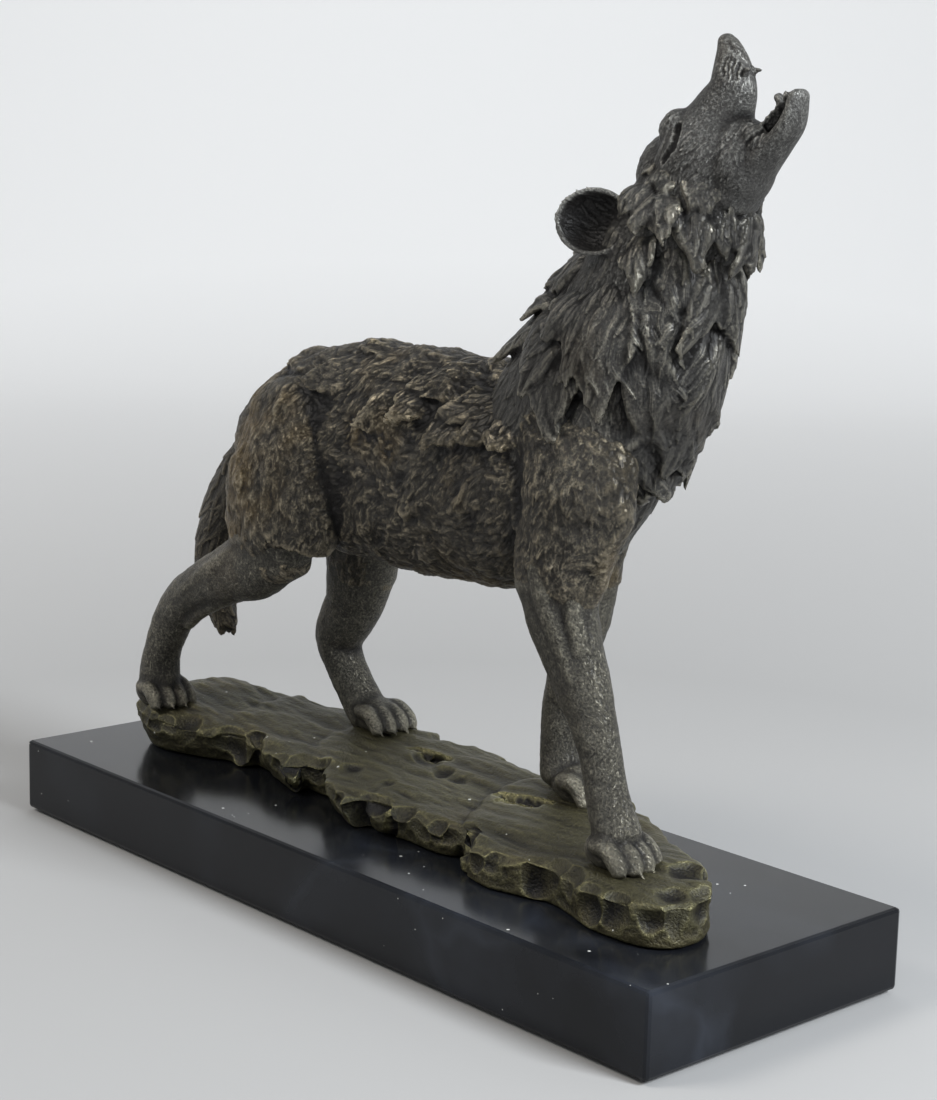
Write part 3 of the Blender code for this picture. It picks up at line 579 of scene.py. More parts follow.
def footing(x, y):
    """Height of the ledge under a paw: the last plate that has begun at that place."""
    begun = [plate for plate in range(len(PLATES)) if ends_of(plate)[0] < x - PAW_INSET]
    return ground(x, y) + stepped(begun[-1], x)


def add_paw(clay, x, y):
    """A foot with four knuckled toes that end in claws, its sole let into the ledge."""
    sole = footing(x, y) - PAW_LET_IN
    half = PAW_WIDTH / 2
    thick = 0.13 * PAW_WIDTH
    add_ball(clay, (x - 0.17 * PAW_LENGTH, y, sole + 0.42 * PAW_HEIGHT),
             (0.36 * PAW_LENGTH, 0.8 * half, 0.5 * PAW_HEIGHT), sides=32, flow=(1, 0, -0.4), coat=PAW_COAT)
    for place in TOE_PLACES:
        reach = x - 3.2 * abs(place) ** 2 + 0.02 * PAW_LENGTH
        across = y + place * half
        toe = [(reach + ahead * PAW_LENGTH, across + spread * place * half,
                sole + rise * PAW_HEIGHT - GROUND, deep * thick, wide * thick)
               for ahead, spread, rise, deep, wide in TOE_JOINTS]
        add_limb(clay, toe, coat=PAW_COAT, steps=3, sides=16)
        add_ball(clay, (reach + 0.33 * PAW_LENGTH, across + 0.09 * place * half, sole + 0.15 * PAW_HEIGHT),
                 (0.24 * thick, 0.26 * thick, 0.8 * thick), axis=(0.8, 0, -0.45), sides=12)


def add_ear(clay, hand):
    """A round cup with a rolled rim, open outwards; hand is 1 for the left ear."""
    axis = Vector((EAR_AXIS[0], EAR_AXIS[1] * hand, EAR_AXIS[2])).normalized()
    across = Vector((0, 0, 1)).cross(axis).normalized()
    painted_light_fade = axis.cross(across)
    centre = Vector((EAR_PLACE[0], EAR_PLACE[1] * hand, EAR_PLACE[2] + GROUND))
    outer = [(math.cos(math.radians(a)), -EAR_DEPTH * math.sin(math.radians(a))) for a in range(80, -1, -10)]
    inner = [(math.cos(math.radians(a)), -(EAR_DEPTH - EAR_WALL) * math.sin(math.radians(a)))
             for a in range(0, 81, 10)]
    rings, flows, grains, coats = [], [], [], []
    spin = circle(EAR_SIDES)
    for wall, turned in ((0.0, outer), (EAR_WALL, inner)):
        for share, depth in turned:
            flat = np.cos(spin)[:, None] * np.array(across) * ((EAR_RADII[0] - wall) * share)
            tall = np.sin(spin)[:, None] * np.array(painted_light_fade) * ((EAR_RADII[1] - wall) * share)
            rings.append(np.array(centre + axis * depth) + flat + tall)
            flows.append(np.tile(np.array(across) * hand + 0.4 * np.array(painted_light_fade), (EAR_SIDES, 1)))
            grains.append(np.c_[spin * 9.0, np.full(EAR_SIDES, share * 12.0)])
            coats.append(np.tile(np.array(EAR_COAT if wall and share < 0.9 else BARE), (EAR_SIDES, 1)))
    clay.skin(rings, flows, grains, np.vstack(coats))


def path_point(rows, place, angle):
    """A point on a loft and its outward way, at a share of the path and an angle from the back."""
    k = min(max(place, 0.0), 1.0) * (len(rows) - 1)
    low = min(int(k), len(rows) - 2)
    row = rows[low] + (rows[low + 1] - rows[low]) * (k - low)
    ahead = rows[low + 1, :3] - rows[low, :3]
    ahead /= np.linalg.norm(ahead)
    side = np.array([0.0, 1.0, 0.0])
    back = np.cross(ahead, side)
    out = back * math.cos(angle) / row[3] + side * math.sin(angle) / row[4]
    point = row[:3] + back * math.cos(angle) * row[3] + side * math.sin(angle) * row[4]
    return point, out / np.linalg.norm(out)


def add_strip(clay, line, along, shares, coat, walked, offset=0.0, sides=20):
    """Skin one tapering strip of hair along a line of points and normals."""
    turn = circle(sides)
    rings, flows, grains = [], [], []
    for row, forward, walk, (half, thick) in zip(line, along, walked, shares):
        side = np.cross(row[3:], forward)
        side /= np.linalg.norm(side)
        rise = np.cross(forward, side)
        flat, tall = half * np.cos(turn), thick * np.sin(turn)
        rings.append(row[:3] + side * flat[:, None] + rise * tall[:, None])
        flows.append(np.tile(forward, (sides, 1)))
        grains.append(np.c_[flat + offset, np.full(sides, walk)])
    clay.skin(rings, flows, grains, coat)


def add_lock(clay, points, normals, width, thickness, coat, chance):
    """One lock of hair: a leaf with narrower wisps lying along it, whose tips make its ragged end."""
    line = smooth(np.c_[np.array(points), np.array(normals)], 4)
    along = unit(np.gradient(line[:, :3], axis=0))
    walked = walk(line[:, :3])
    sheet = width >= SHEET_WIDTH
    shape = smooth(LOCK_SHAPE, 4) * (0.5 * width, 0.5 * thickness)
    share = walked / walked[-1]
    body = shape * np.c_[1.0 - (0.15 if sheet else 0.5) * share, 0.95 - 0.4 * share]
    add_strip(clay, line, along, body, coat, walked)
    count = max(3, round(width / (0.65 * WISP_WIDTH if sheet else WISP_WIDTH)))
    for number in range(count):
        place = (2 * number + 1) / count - 1 + chance.uniform(-0.12, 0.12)
        start = chance.uniform(0.0, 0.35)
        end = min(1.0, 1.08 - 0.3 * place * place - chance.uniform(0.0, 0.32))
        inside = np.nonzero((share >= start) & (share <= end))[0]
        if len(inside) < 4:
            continue
        run = (share[inside] - share[inside[0]]) / (share[inside[-1]] - share[inside[0]])
        curl = chance.uniform(-0.18, 0.18) * width * run * run
        side = unit(np.cross(line[inside, 3:], along[inside]))
        rise = np.cross(along[inside], side)
        wisp = line[inside].copy()
        wisp[:, :3] += side * (place * 0.8 * shape[inside, 0] + curl)[:, None]
        wisp[:, :3] += rise * (0.55 * shape[inside, 1] * math.sqrt(max(1.0 - place * place, 0.0)))[:, None]
        taper = np.sqrt(np.clip(1.0 - run ** 2.2, 0.004, 1.0)) * (0.55 + 0.45 * np.minimum(run * 4, 1.0))
        thick = (0.6 if sheet else 1.0) * chance.uniform(0.2, 0.32) * thickness
        thick = thick * np.minimum(taper + 0.15, 1.0)
        half = chance.uniform(0.75, 1.15) * width / count * taper
        add_strip(clay, wisp, along[inside], np.c_[half, thick], coat, walked[inside],
                  place * 0.5 * width, 10)


def lay_locks(clay, stations, table, coats, fullness=1.0):
    """Lay the locks of a table on both sides of a path, each side a little different."""
    chance = random.Random(LOCK_SEED)
    edge_chance = random.Random(LOCK_SEED + 1)
    rows = smooth(flat_path(stations), 4)
    rows[:, 2] += GROUND
    ear = np.array((EAR_PLACE[0], EAR_PLACE[1], EAR_PLACE[2] + GROUND))
    for (start, turned, end, turned_end, wide, thick, lift), coat in zip(table, coats):
        for hand in (1, -1):
            first = math.radians(turned + chance.uniform(-4, 4)) * hand
            last = math.radians(turned_end + chance.uniform(-4, 4)) * hand
            tip = lift * chance.uniform(0.9, 1.1)
            bend = chance.uniform(-0.12, 0.12)
            points, normals = [], []
            for i in range(6):
                t = i / 5
                turn = first + (last - first) * t + bend * math.sin(math.pi * t)
                point, out = path_point(rows, start + (end - start) * t, turn)
                points.append(point + out * (LOCK_ROOT + (tip - LOCK_ROOT) * t ** 0.8))
                normals.append(out)
            middle = points[2] * np.array((1.0, np.sign(points[2][1]), 1.0))
            if np.linalg.norm(middle - ear) < EAR_RADII[0] + 3:
                continue
            add_lock(clay, points, normals, wide, thick * fullness, coat, edge_chance)


def above_ledge(points):
    """The same points with their heights taken from the ledge instead of the floor."""
    return [(*point[:2], point[2] + GROUND, *point[3:]) for point in points]


def add_head(clay):
    """Skull, brows, eyes, jaws, nose, canines, tongue, teeth and ears."""

    def add_flesh(centre, radii):
        add_ball(clay, centre, radii, flow=(-0.3, 0, -1), coat=FACE_COAT)

    add_limb(clay, flat_path(NECK[4:11] + MUZZLE[:1]), way=-1.0, coat=FACE_COAT)
    add_limb(clay, flat_path(NECK[9:11] + MUZZLE), way=-1.0, coat=BARE)
    add_limb(clay, flat_path(JAW), way=-1.0, coat=BARE, scoop=0.85)
    add_limb(clay, flat_path(TONGUE), coat=BARE, sides=16)
    add_flesh((151, 0, GROUND + 236), (12, 12.5, 15))
    add_flesh((125.5, 0, GROUND + 231), (14, 15, 15.5))
    add_ball(clay, (145.0, 0, GROUND + 273.2), (2.8, 3.2, 2.4))
    for hand in (-1, 1):
        add_flesh((131, 7.0 * hand, GROUND + 245.5), (7, 6.5, 7.5))
        add_ball(clay, (EYE[0], -EYE[1] * hand, EYE[2] + GROUND), (2.8, 2.8, 3.2))
        lid = [(x, -y * hand, z, depth, width) for x, y, z, depth, width in EYE_LID]
        add_limb(clay, lid, coat=BARE, sides=12)
        add_ball(clay, (151.8, 2.4 * hand, GROUND + 264.6), (2.4, 1.5, 1.9))
        add_ball(clay, (154.2, 2.5 * hand, GROUND + 265.0), (2.4, 0.8, 0.9))
        add_ball(clay, (171.4, 3.6 * hand, GROUND + 256.2), (1.1, 1.0, 2.6))
        add_flesh((158.5, 4.6 * hand, GROUND + 243.2), (8.0, 3.0, 5.6))
        for tooth in range(TEETH):
            share = tooth / (TEETH - 1)
            add_ball(clay, (160 + 8.6 * share, (5.6 - 1.6 * share) * hand, GROUND + 244.2 + 9 * share),
                     (0.9, 0.8, 1.5), sides=12)
        add_ear(clay, hand)


def carve(item, lines, radius, depth, hands=(1, -1)):
    """Press grooves into the skin along lines that are snapped to it, mirrored for the left hand."""
    points = coordinates(item.data)
    tree = tree_of(points)
    pressed = np.zeros(len(points))
    for line in lines:
        for hand in hands:
            for place in smooth(above_ledge(line), 14):
                centre = tree.find(place * (1, hand, 1))[0]
                for _, index, gap in tree.find_range(centre, radius):
                    pressed[index] = max(pressed[index], 1.0 - (gap / radius) ** 2)
    push_points(item.data, -depth * pressed)


def add_plate(clay, plate):
    """One shale plate of the ledge: undercut below its lip, and sloping up to its top."""
    near, far = PLATES[plate]
    outline = smooth(tuple(near) + tuple(far) + (near[0],), 5)[:-1]
    middle = outline.mean(axis=0)
    away = unit(outline - middle)
    levels = (
        (LEDGE_UNDERCUT[plate] + 2, 0.0),
        (LEDGE_UNDERCUT[plate], 0.03),
        (0.4 * LEDGE_UNDERCUT[plate], 0.5),
        (0.3, 0.86),
        (0.0, 1.0),
        (1.0, 1.22),
        (4.5, 1.42),
        (11.0, 1.5),
    )
    rings = []
    for inset, level in levels:
        ring = []
        for point, direction in zip(outline, away):
            x, y = point - direction * inset
            top = ground(x, y) + stepped(plate, x)
            lip = top - LEDGE_LIP_DROP
            if level <= 1.0:
                z = LEDGE_SEAT + (lip - LEDGE_SEAT) * level
            else:
                z = lip + (top - lip) * (level - 1.0) * 2
            ring.append((x, y, z))
        rings.append(ring)
    clay.skin(rings)


def within(plate, x, y):
    """Whether a place lies inside a plate's outline."""
    outline = np.array(PLATES[plate][0] + PLATES[plate][1], dtype=float)
    ahead = np.roll(outline, -1, axis=0)
    astride = (outline[:, 1] > y) != (ahead[:, 1] > y)
    rise = np.where(astride, ahead[:, 1] - outline[:, 1], 1.0)
    crossing = outline[:, 0] + (y - outline[:, 1]) / rise * (ahead[:, 0] - outline[:, 0])
    return np.count_nonzero(astride & (x < crossing)) % 2 == 1


def facets(plate, chance):
    """Shell-shaped scoops broken out of a plate's lip, as a centre and a radius each."""
    scoops = []
    near, far = PLATES[plate]
    for side, reach in ((near, 1.0), (far, 1.6)):
        line = smooth(side, 8)
        walked = walk(line)
        at = chance.uniform(1.0, 6.0)
        while at < walked[-1]:
            x, y = (np.interp(at, walked, line[:, axis]) for axis in (0, 1))
            ahead = [np.interp(at + 2.0, walked, line[:, axis]) for axis in (0, 1)]
            out = np.array((ahead[1] - y, x - ahead[0]))
            out /= np.linalg.norm(out) + 1e-6
            radius = chance.uniform(8.0, 15.0) * reach
            lip = ground(x, y) + stepped(plate, x) - LEDGE_LIP_DROP
            at += radius * chance.uniform(0.7, 1.15)
            if any(within(other, x, y) for other in range(len(PLATES)) if other != plate):
                continue
            for tilt, bite in ((chance.uniform(35, 65), chance.uniform(0.8, 2.0)),
                               (chance.uniform(-35, -5), chance.uniform(0.8, 2.4))):
                away = math.cos(math.radians(tilt)) * (radius - bite)
                rise = math.sin(math.radians(tilt)) * (radius - bite)
                scoops.append((x + out[0] * away, y + out[1] * away, lip + rise, radius))
    return scoops


def chipped(points, chips):
    """The points pushed out of shell-shaped hollows with wandering edges."""
    # Without a seed this noise follows the clock
    noise.seed_set(FACET_SEED)
    wander = CHIP_WANDER * np.array([noise.noise_vector(point / 9.0) for point in points])
    points = points + wander
    for x, y, z, radius in chips:
        reach = points - (x, y, z)
        far = np.linalg.norm(reach, axis=1)
        inside = (far < radius) & (far > radius - CHIP_LIMIT)
        points[inside] = np.array((x, y, z)) + reach[inside] * (radius / far[inside])[:, None]
    return points - wander


def fused(clay, name, voxel):
    """The clay's solids melted into one skin, as an object with its place in its mesh."""
    item = bpy.data.objects.new(name, clay.mesh(name))
    bpy.context.scene.collection.objects.link(item)
    skin = item.modifiers.new("skin", "REMESH")
    skin.mode = "VOXEL"
    skin.voxel_size = voxel * MM
    graph = bpy.context.evaluated_depsgraph_get()
    data = bpy.data.meshes.new_from_object(item.evaluated_get(graph))
    item.modifiers.clear()
    item.data = data
    data.name = name
    return item


def vectors(data, kind):
    """A number triple of each of the mesh's points."""
    flat = np.empty(len(data.vertices) * 3)
    data.vertices.foreach_get(kind, flat)
    return flat.reshape(-1, 3)


def coordinates(data):
    """A mesh's points in millimetres."""
    return vectors(data, "co") / MM


def tree_of(points):
    """A search tree of points."""
    tree = kdtree.KDTree(len(points))
    for index, point in enumerate(points):
        tree.insert(point, index)
    tree.balance()
    return tree


def relaxed(data, points, rounds):
    """The points moved to the middle of their neighbours, again and again."""
    edges = np.empty(len(data.edges) * 2, dtype=np.int64)
    data.edges.foreach_get("vertices", edges)
    edges = edges.reshape(-1, 2)
    count = len(points)
    share = np.bincount(edges.ravel(), minlength=count).clip(1)[:, None]
    result = points.copy()
    for _ in range(rounds):
        total = np.zeros_like(result)
        for axis in range(3):
            total[:, axis] = (np.bincount(edges[:, 0], weights=result[edges[:, 1], axis], minlength=count)
                              + np.bincount(edges[:, 1], weights=result[edges[:, 0], axis], minlength=count))
        result = 0.5 * result + 0.5 * total / share
    return result


def put_points(data, points):
    """Write points in millimetres back to the mesh."""
    data.vertices.foreach_set("co", (points * MM).ravel())
    data.update()


def push_points(data, amounts):
    """Move each of the mesh's points along its normal."""
    put_points(data, coordinates(data) + vectors(data, "normal") * amounts[:, None])


def melt_points(data, rounds):
    """Even out the mesh."""
    put_points(data, relaxed(data, coordinates(data), rounds))


def stand_out(data, rounds):
    """How far each point stands out from the form around it."""
    points = coordinates(data)
    return np.sum((points - relaxed(data, points, rounds)) * vectors(data, "normal"), axis=1)


def store(data, name, values, kind="FLOAT"):
    """Keep a number or a vector for each point of the mesh."""
    layer = data.attributes.new(name, kind, "POINT")
    layer.data.foreach_set("value" if kind == "FLOAT" else "vector", np.asarray(values, dtype=float).ravel())


def lie_of_hair(data, clay):
    """For each point of the mesh: the way its hair lies, its grain coordinates and its coat."""
    points = coordinates(data)
    normals = vectors(data, "normal")
    samples = np.vstack(clay.points)
    tree = tree_of(samples)
    nearest = np.array([tree.find(point)[1] for point in points])
    flow = relaxed(data, np.vstack(clay.flows)[nearest], 4)
    flow -= normals * np.sum(flow * normals, axis=1)[:, None]
    flow /= np.linalg.norm(flow, axis=1)[:, None] + 1e-9
    grain = np.vstack(clay.grains)[nearest]
    offset = points - samples[nearest]
    grain[:, 0] += np.sum(offset * np.cross(normals, flow), axis=1)
    grain[:, 1] += np.sum(offset * flow, axis=1)
    return flow, grain, relaxed(data, np.vstack(clay.coats)[nearest], 12)


def leaf_width(share):
    """Half width of a tuft at a share of its length, as a share of its greatest."""
    return np.minimum(0.62 + 1.3 * share, 1.0) * np.clip(1.0 - share ** 2.6, 0.0, 1.0) ** 0.75


def tufted(item, clay, seed, swirl, strand_depth, overhang, smallest=4.0, cover=2.6):
    """Raise overlapping tufts on the skin, each with its own combed strands, and keep their grain."""
    data = item.data
    flow, grain, coat = lie_of_hair(data, clay)
    points = coordinates(data)
    normals = vectors(data, "normal")
    tree = tree_of(points)
    chance = np.random.default_rng(seed)
    spacing = np.linalg.norm(points[data.edges[0].vertices[0]] - points[data.edges[0].vertices[1]])
    share = cover * spacing ** 2 / (0.55 * coat[:, 0] * coat[:, 1])
    share[coat[:, 0] < smallest] = 0.0
    roots = np.nonzero(chance.random(len(points)) < share)[0]
    height = np.zeros(len(points))
    groove = np.zeros(len(points))
    lean = flow.copy()
    for number, root in enumerate(chance.permutation(roots)):
        place, normal = points[root], normals[root]
        sway = swirl * noise.noise(place / 24.0) * 2.2 + chance.normal(0.0, 0.16)
        forward = flow[root] * math.cos(sway) + np.cross(normal, flow[root]) * math.sin(sway)
        across = np.cross(normal, forward)
        long, wide, tall = coat[root] * chance.uniform(0.72, 1.35, 3)
        found = [hit[1] for hit in tree.find_range(place + forward * long * 0.5, 0.5 * long + 0.3 * wide)]
        if not found:
            continue
        found = np.array(found)
        offset = points[found] - place
        run = offset @ forward / long
        bend = chance.normal(0.0, 0.16) * run * run * long
        waver = 0.09 * wide * np.sin(chance.uniform(5.0, 11.0) * run + chance.uniform(0.0, 6.28))
        side = (offset @ across - bend - waver) / (0.5 * wide * leaf_width(np.clip(run, 0.0, 1.0)) + 1e-6)
        facing = normals[found] @ normal > 0.25
        inside = (run > 0.0) & (run < 1.0) & (np.abs(side) < 1.0) & facing
        if not inside.any():
            continue
        found, run, side = found[inside], run[inside], side[inside]
        swell = (0.15 + 0.85 * run ** 0.9) * np.sqrt(1.0 - 0.85 * side ** 2)
        rise = tall * (swell + chance.uniform(-0.12, 0.12))
        higher = rise > height[found]
        found, run, side, rise = found[higher], run[higher], side[higher], rise[higher]
        height[found] = rise
        strands = max(2.0, wide / 1.9)
        phase = chance.uniform(0.0, 6.28)
        groove[found] = np.cos(math.pi * strands * side + phase + 1.4 * np.sin(3.0 * run + phase))
        lean[found] = forward
        grain[found] = np.c_[side * wide * 0.5, run * long, np.full(len(found), 3.17 * number)]
    share = np.clip(height / 0.5, 0.0, 1.0)
    points += normals * (height - 0.45 * coat[:, 2] + strand_depth * groove * share)[:, None]
    points += lean * (overhang * height)[:, None]
    put_points(data, points)
    store(data, "grain", grain, "FLOAT_VECTOR")


def mark_relief(data, fine_share=0.75, broad_shade_share=0.22):
    """Keep how proud each point stands: high places wear bright, and hollows stay dark, partly from the
    patina that gathers there and partly as painted shade.
    """
    # The broad hollows are darkened as painted shade, in place of the shade that falls in them; the fine
    # relief darkens small hollows as patina and painted shade
    broad = stand_out(data, 240)
    relief = 0.5 + fine_share * stand_out(data, 6) + broad_shade_share * np.where(broad < 0.0, broad, 0.08 * broad)
    store(data, "relief", relief.clip(0.0, 1.0))


def shade_smooth(data):
    """Shade the mesh smooth."""
    data.polygons.foreach_set("use_smooth", [True] * len(data.polygons))
    data.update()


def declare(item, material):
    """Give a piece of the casting its finish and its body, and hide the casting's node."""
    shade_smooth(item.data)
    item.data.materials.clear()
    item.data.materials.append(material)
    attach(item, "root")
    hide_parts(CASTING)


def feed(tree, node, sockets):
    """Link each named socket of a node to another's output, or give it a value."""
    for name, value in sockets.items():
        if isinstance(value, bpy.types.NodeSocket):
            tree.links.new(value, node.inputs[name])
        else:
            node.inputs[name].default_value = value


def wired(tree, kind, sockets=None, **settings):
    """A new shader node with its settings, fed through its sockets."""
    node = tree.nodes.new("ShaderNode" + kind)
    for name, value in settings.items():
        setattr(node, name, value)
    feed(tree, node, sockets or {})
    return node


def maths(tree, kind, *values):
    """The outcome of a sum on numbers and outputs."""
    return wired(tree, "Math", dict(enumerate(values)), operation=kind).outputs[0]


def speckle(tree, place, scale, detail=2.0):
    """The output of a noise texture."""
    return wired(tree, "TexNoise", {"Vector": place, "Scale": scale, "Detail": detail}).outputs["Fac"]


def ramp(tree, value, low, high, kind="SMOOTHSTEP"):
    """How far a value has come from low to high."""
    sockets = {"Value": value, "From Min": low, "From Max": high}
    return wired(tree, "MapRange", sockets, interpolation_type=kind).outputs["Result"]


def between(tree, value, start, end):
    """A number between two, by a value from nought to one."""
    return wired(tree, "MapRange", {"Value": value, "To Min": start, "To Max": end}).outputs["Result"]


def blend(tree, factor, first, second):
    """A colour between two."""
    return wired(tree, "Mix", {"Factor": factor, "A": first, "B": second}, data_type="RGBA").outputs["Result"]


def object_place(tree):
    """The piece's own coordinates."""
    return wired(tree, "TexCoord").outputs["Object"]


def bumped(tree, height, distance, strength=1.0):
    """A normal from a height."""
    sockets = {"Strength": strength, "Distance": distance, "Height": height}
    return wired(tree, "Bump", sockets).outputs["Normal"]


def new_group(name, inputs, outputs):
    """A node group with named sockets, and its input and output nodes."""
    group = bpy.data.node_groups.new(name, "ShaderNodeTree")
    for label, value in inputs.items():
        kind = "NodeSocketFloat" if isinstance(value, float) else "NodeSocketColor"
        group.interface.new_socket(name=label, in_out="INPUT", socket_type=kind).default_value = value
    for label, kind in outputs.items():
        group.interface.new_socket(name=label, in_out="OUTPUT", socket_type="NodeSocket" + kind)
    return group, group.nodes.new("NodeGroupInput").outputs, group.nodes.new("NodeGroupOutput")


def patina_group():
    """Shader group: bronze colour, roughness, metal and height from the surface's relief."""
    known = bpy.data.node_groups.get("bronze patina")
    if known:
        return known
    tree, given, outs = new_group(
        "bronze patina",
        {"Dark": (0.012, 0.01, 0.008, 1), "Brown": (0.085, 0.062, 0.038, 1), "Gold": (0.42, 0.31, 0.16, 1),
         "Warm": (0.10, 0.066, 0.022, 1), "Ochre": 0.5, "Rub": 0.5, "Grit": 0.3},
        {"Color": "Color", "Roughness": "Float", "Metallic": "Float", "Height": "Float"})
    place = object_place(tree)
    relief = wired(tree, "Attribute", attribute_name="relief").outputs["Fac"]
    grain = wired(tree, "Attribute", attribute_name="grain").outputs["Vector"]
    combed = wired(tree, "VectorMath", {0: grain, 1: (1.5, 0.10, 1.0)}, operation="MULTIPLY")
    hairs = speckle(tree, combed.outputs["Vector"], 1.0, 3.0)
    grit = speckle(tree, place, 1100.0, 5.0)

    def times(a, b):
        return maths(tree, "MULTIPLY", a, b)

    def plus(a, b):
        return maths(tree, "ADD", a, b)

    speck = maths(tree, "SUBTRACT", grit, 0.5)
    strand = maths(tree, "SUBTRACT", hairs, 0.5)
    height = plus(plus(relief, times(speck, 0.45)), times(strand, 0.5))
    high = ramp(tree, height, 0.48, 0.85)
    worn = ramp(tree, plus(speckle(tree, place, 24.0, 3.0), times(given["Rub"], 0.3)), 0.45, 0.8)
    ochre = ramp(tree, speckle(tree, place, 19.0, 5.0), 0.52, 0.7)
    warm = blend(tree, times(ochre, given["Ochre"]), given["Brown"], given["Warm"])
    # Low places blend to the dark colour: the patina of the hollows together with painted shade
    brown = blend(tree, ramp(tree, height, 0.25, 0.58), given["Dark"], warm)
    rubbed = times(high, plus(0.35, times(worn, 0.65)))
    dull = maths(tree, "SUBTRACT", 0.5, times(high, 0.2))
    smooth_share = maths(tree, "SUBTRACT", 1.0, given["Grit"])
    feed(tree, outs, {
        "Color": blend(tree, rubbed, brown, given["Gold"]),
        "Roughness": plus(dull, times(speck, 0.35)),
        "Metallic": plus(0.45, times(high, 0.45)),
        "Height": plus(times(hairs, smooth_share), times(grit, given["Grit"])),
    })
    return tree


def dust_group():
    """Shader group: a mask of fine white specks gathered in patches."""
    known = bpy.data.node_groups.get("white dust")
    if known:
        return known
    tree, given, outs = new_group("white dust", {"Amount": 0.5}, {"Mask": "Float"})
    place = object_place(tree)
    cells = wired(tree, "TexVoronoi", {"Vector": place, "Scale": 420.0}).outputs
    chosen = wired(tree, "SeparateColor", {0: cells["Color"]}).outputs
    dot = maths(tree, "LESS_THAN", cells["Distance"], maths(tree, "MULTIPLY", chosen["Green"], 0.26))
    patch = maths(tree, "MULTIPLY", given["Amount"], speckle(tree, place, 26.0))
    near = maths(tree, "LESS_THAN", chosen["Red"], maths(tree, "SUBTRACT", patch, 0.2))
    feed(tree, outs, {"Mask": maths(tree, "MULTIPLY", dot, near)})
    return tree


def dusted(tree, colour, amount):
    """A colour with white specks over it."""
    dust = wired(tree, "Group", {"Amount": amount}, node_tree=dust_group())
    return blend(tree, dust.outputs["Mask"], colour, (0.55, 0.55, 0.52, 1))


def shader_of(name):
    """A new material, its node tree and its Principled shader."""
    material = bpy.data.materials.new(name)
    material.use_nodes = True
    return material, material.node_tree, material.node_tree.nodes["Principled BSDF"]


def bronze(name, settings, brown=None, gold=None, rub=0.5, grit=0.3, dust=0.0, ochre=0.2):
    """Patinated bronze, darker in its hollows, as patina and painted shade, and rubbed on its high places."""
    material, tree, shader = shader_of(name)
    sockets = {"Dark": (*settings.bronze_dark, 1), "Brown": (*(brown or settings.bronze_brown), 1),
               "Gold": (*(gold or settings.bronze_gold), 1), "Rub": rub, "Ochre": ochre, "Grit": grit}
    patina = wired(tree, "Group", sockets, node_tree=patina_group())
    feed(tree, shader, {
        "Base Color": dusted(tree, patina.outputs["Color"], dust),
        "Roughness": patina.outputs["Roughness"],
        "Metallic": patina.outputs["Metallic"],
        "Normal": bumped(tree, patina.outputs["Height"], 0.0009, 0.8),
    })
    return material


def grained(tree, shader, scale, low, high, smooth_end, rough_end, bump):
    """Give a shader a fine grain in its colour, roughness and height."""
    grain = speckle(tree, object_place(tree), scale, 4.0)
    feed(tree, shader, {
        "Base Color": blend(tree, grain, (*low, 1), (*high, 1)),
        "Roughness": between(tree, grain, smooth_end, rough_end),
        "Normal": bumped(tree, grain, bump),
    })


def marble(settings):
    """Polished black marble with faint veins."""
    material, tree, shader = shader_of("black marble")
    place = object_place(tree)
    warp = wired(tree, "TexNoise", {"Vector": place, "Scale": 9.0, "Detail": 4.0}).outputs["Color"]
    bent = wired(tree, "VectorMath", {0: warp, 1: (0.12, 0.12, 0.12), 2: place}, operation="MULTIPLY_ADD")
    sockets = {"Vector": bent.outputs["Vector"], "Scale": 11.0}
    cells = wired(tree, "TexVoronoi", sockets, feature="DISTANCE_TO_EDGE")
    vein = ramp(tree, cells.outputs["Distance"], 0.05, 0.0, "LINEAR")
    cloud = speckle(tree, place, 14.0, 5.0)
    haze = ramp(tree, cloud, 0.5, 0.85, "LINEAR")
    veined = maths(tree, "MULTIPLY_ADD", vein, haze, haze)
    stone = blend(tree, veined, (*settings.marble_black, 1), (*settings.marble_vein, 1))
    feed(tree, shader, {
        "Base Color": dusted(tree, stone, 0.43),
        "Roughness": between(tree, cloud, 0.10, 0.24),
        "Specular IOR Level": 0.22,
    })
    return material


def finished(item, clay, seed, settings, material, swirl=0.5, melt=0, lumps=0.0, deepen=0.0):
    """Melt the seams of the clay, deepen its forms, lay the coat on it, and give it its finish."""
    data = item.data
    if melt:
        melt_points(data, melt)
    if deepen:
        push_points(data, deepen * stand_out(data, 30).clip(-1.6, 1.6))
    if lumps:
        swell = np.array([noise.fractal(point / 13.0, 0.9, 2.1, 3) for point in coordinates(data)])
        push_points(data, lumps * swell)
    tufted(item, clay, seed, swirl, settings.strand_depth, settings.overhang)
    mark_relief(data)
    declare(item, material)


class WOLF_OT_head(Operator):
    """Skull, jaws and ears"""
    bl_idname = "wolf.head"
    bl_label = "Head"

    def execute(self, context):
        settings = context.scene.wolf
        clay = Clay()
        add_head(clay)
        item = fused(clay, "head", settings.head_grain)
        melt_points(item.data, 5)
        carve(item, (EYE_SLOT,), 1.6, 1.5)
        carve(item, (NOSTRIL,), 0.8, 0.4)
        carve(item, (JAW_RIM,), 0.8, 0.7)
        carve(item, WHISKER_LINES, 0.7, 0.6)
        material = bronze("bronze head", settings, brown=(0.040, 0.038, 0.035), gold=(0.38, 0.375, 0.345),
                          grit=0.55)
        finished(item, clay, 3, settings, material)
        return {"FINISHED"}


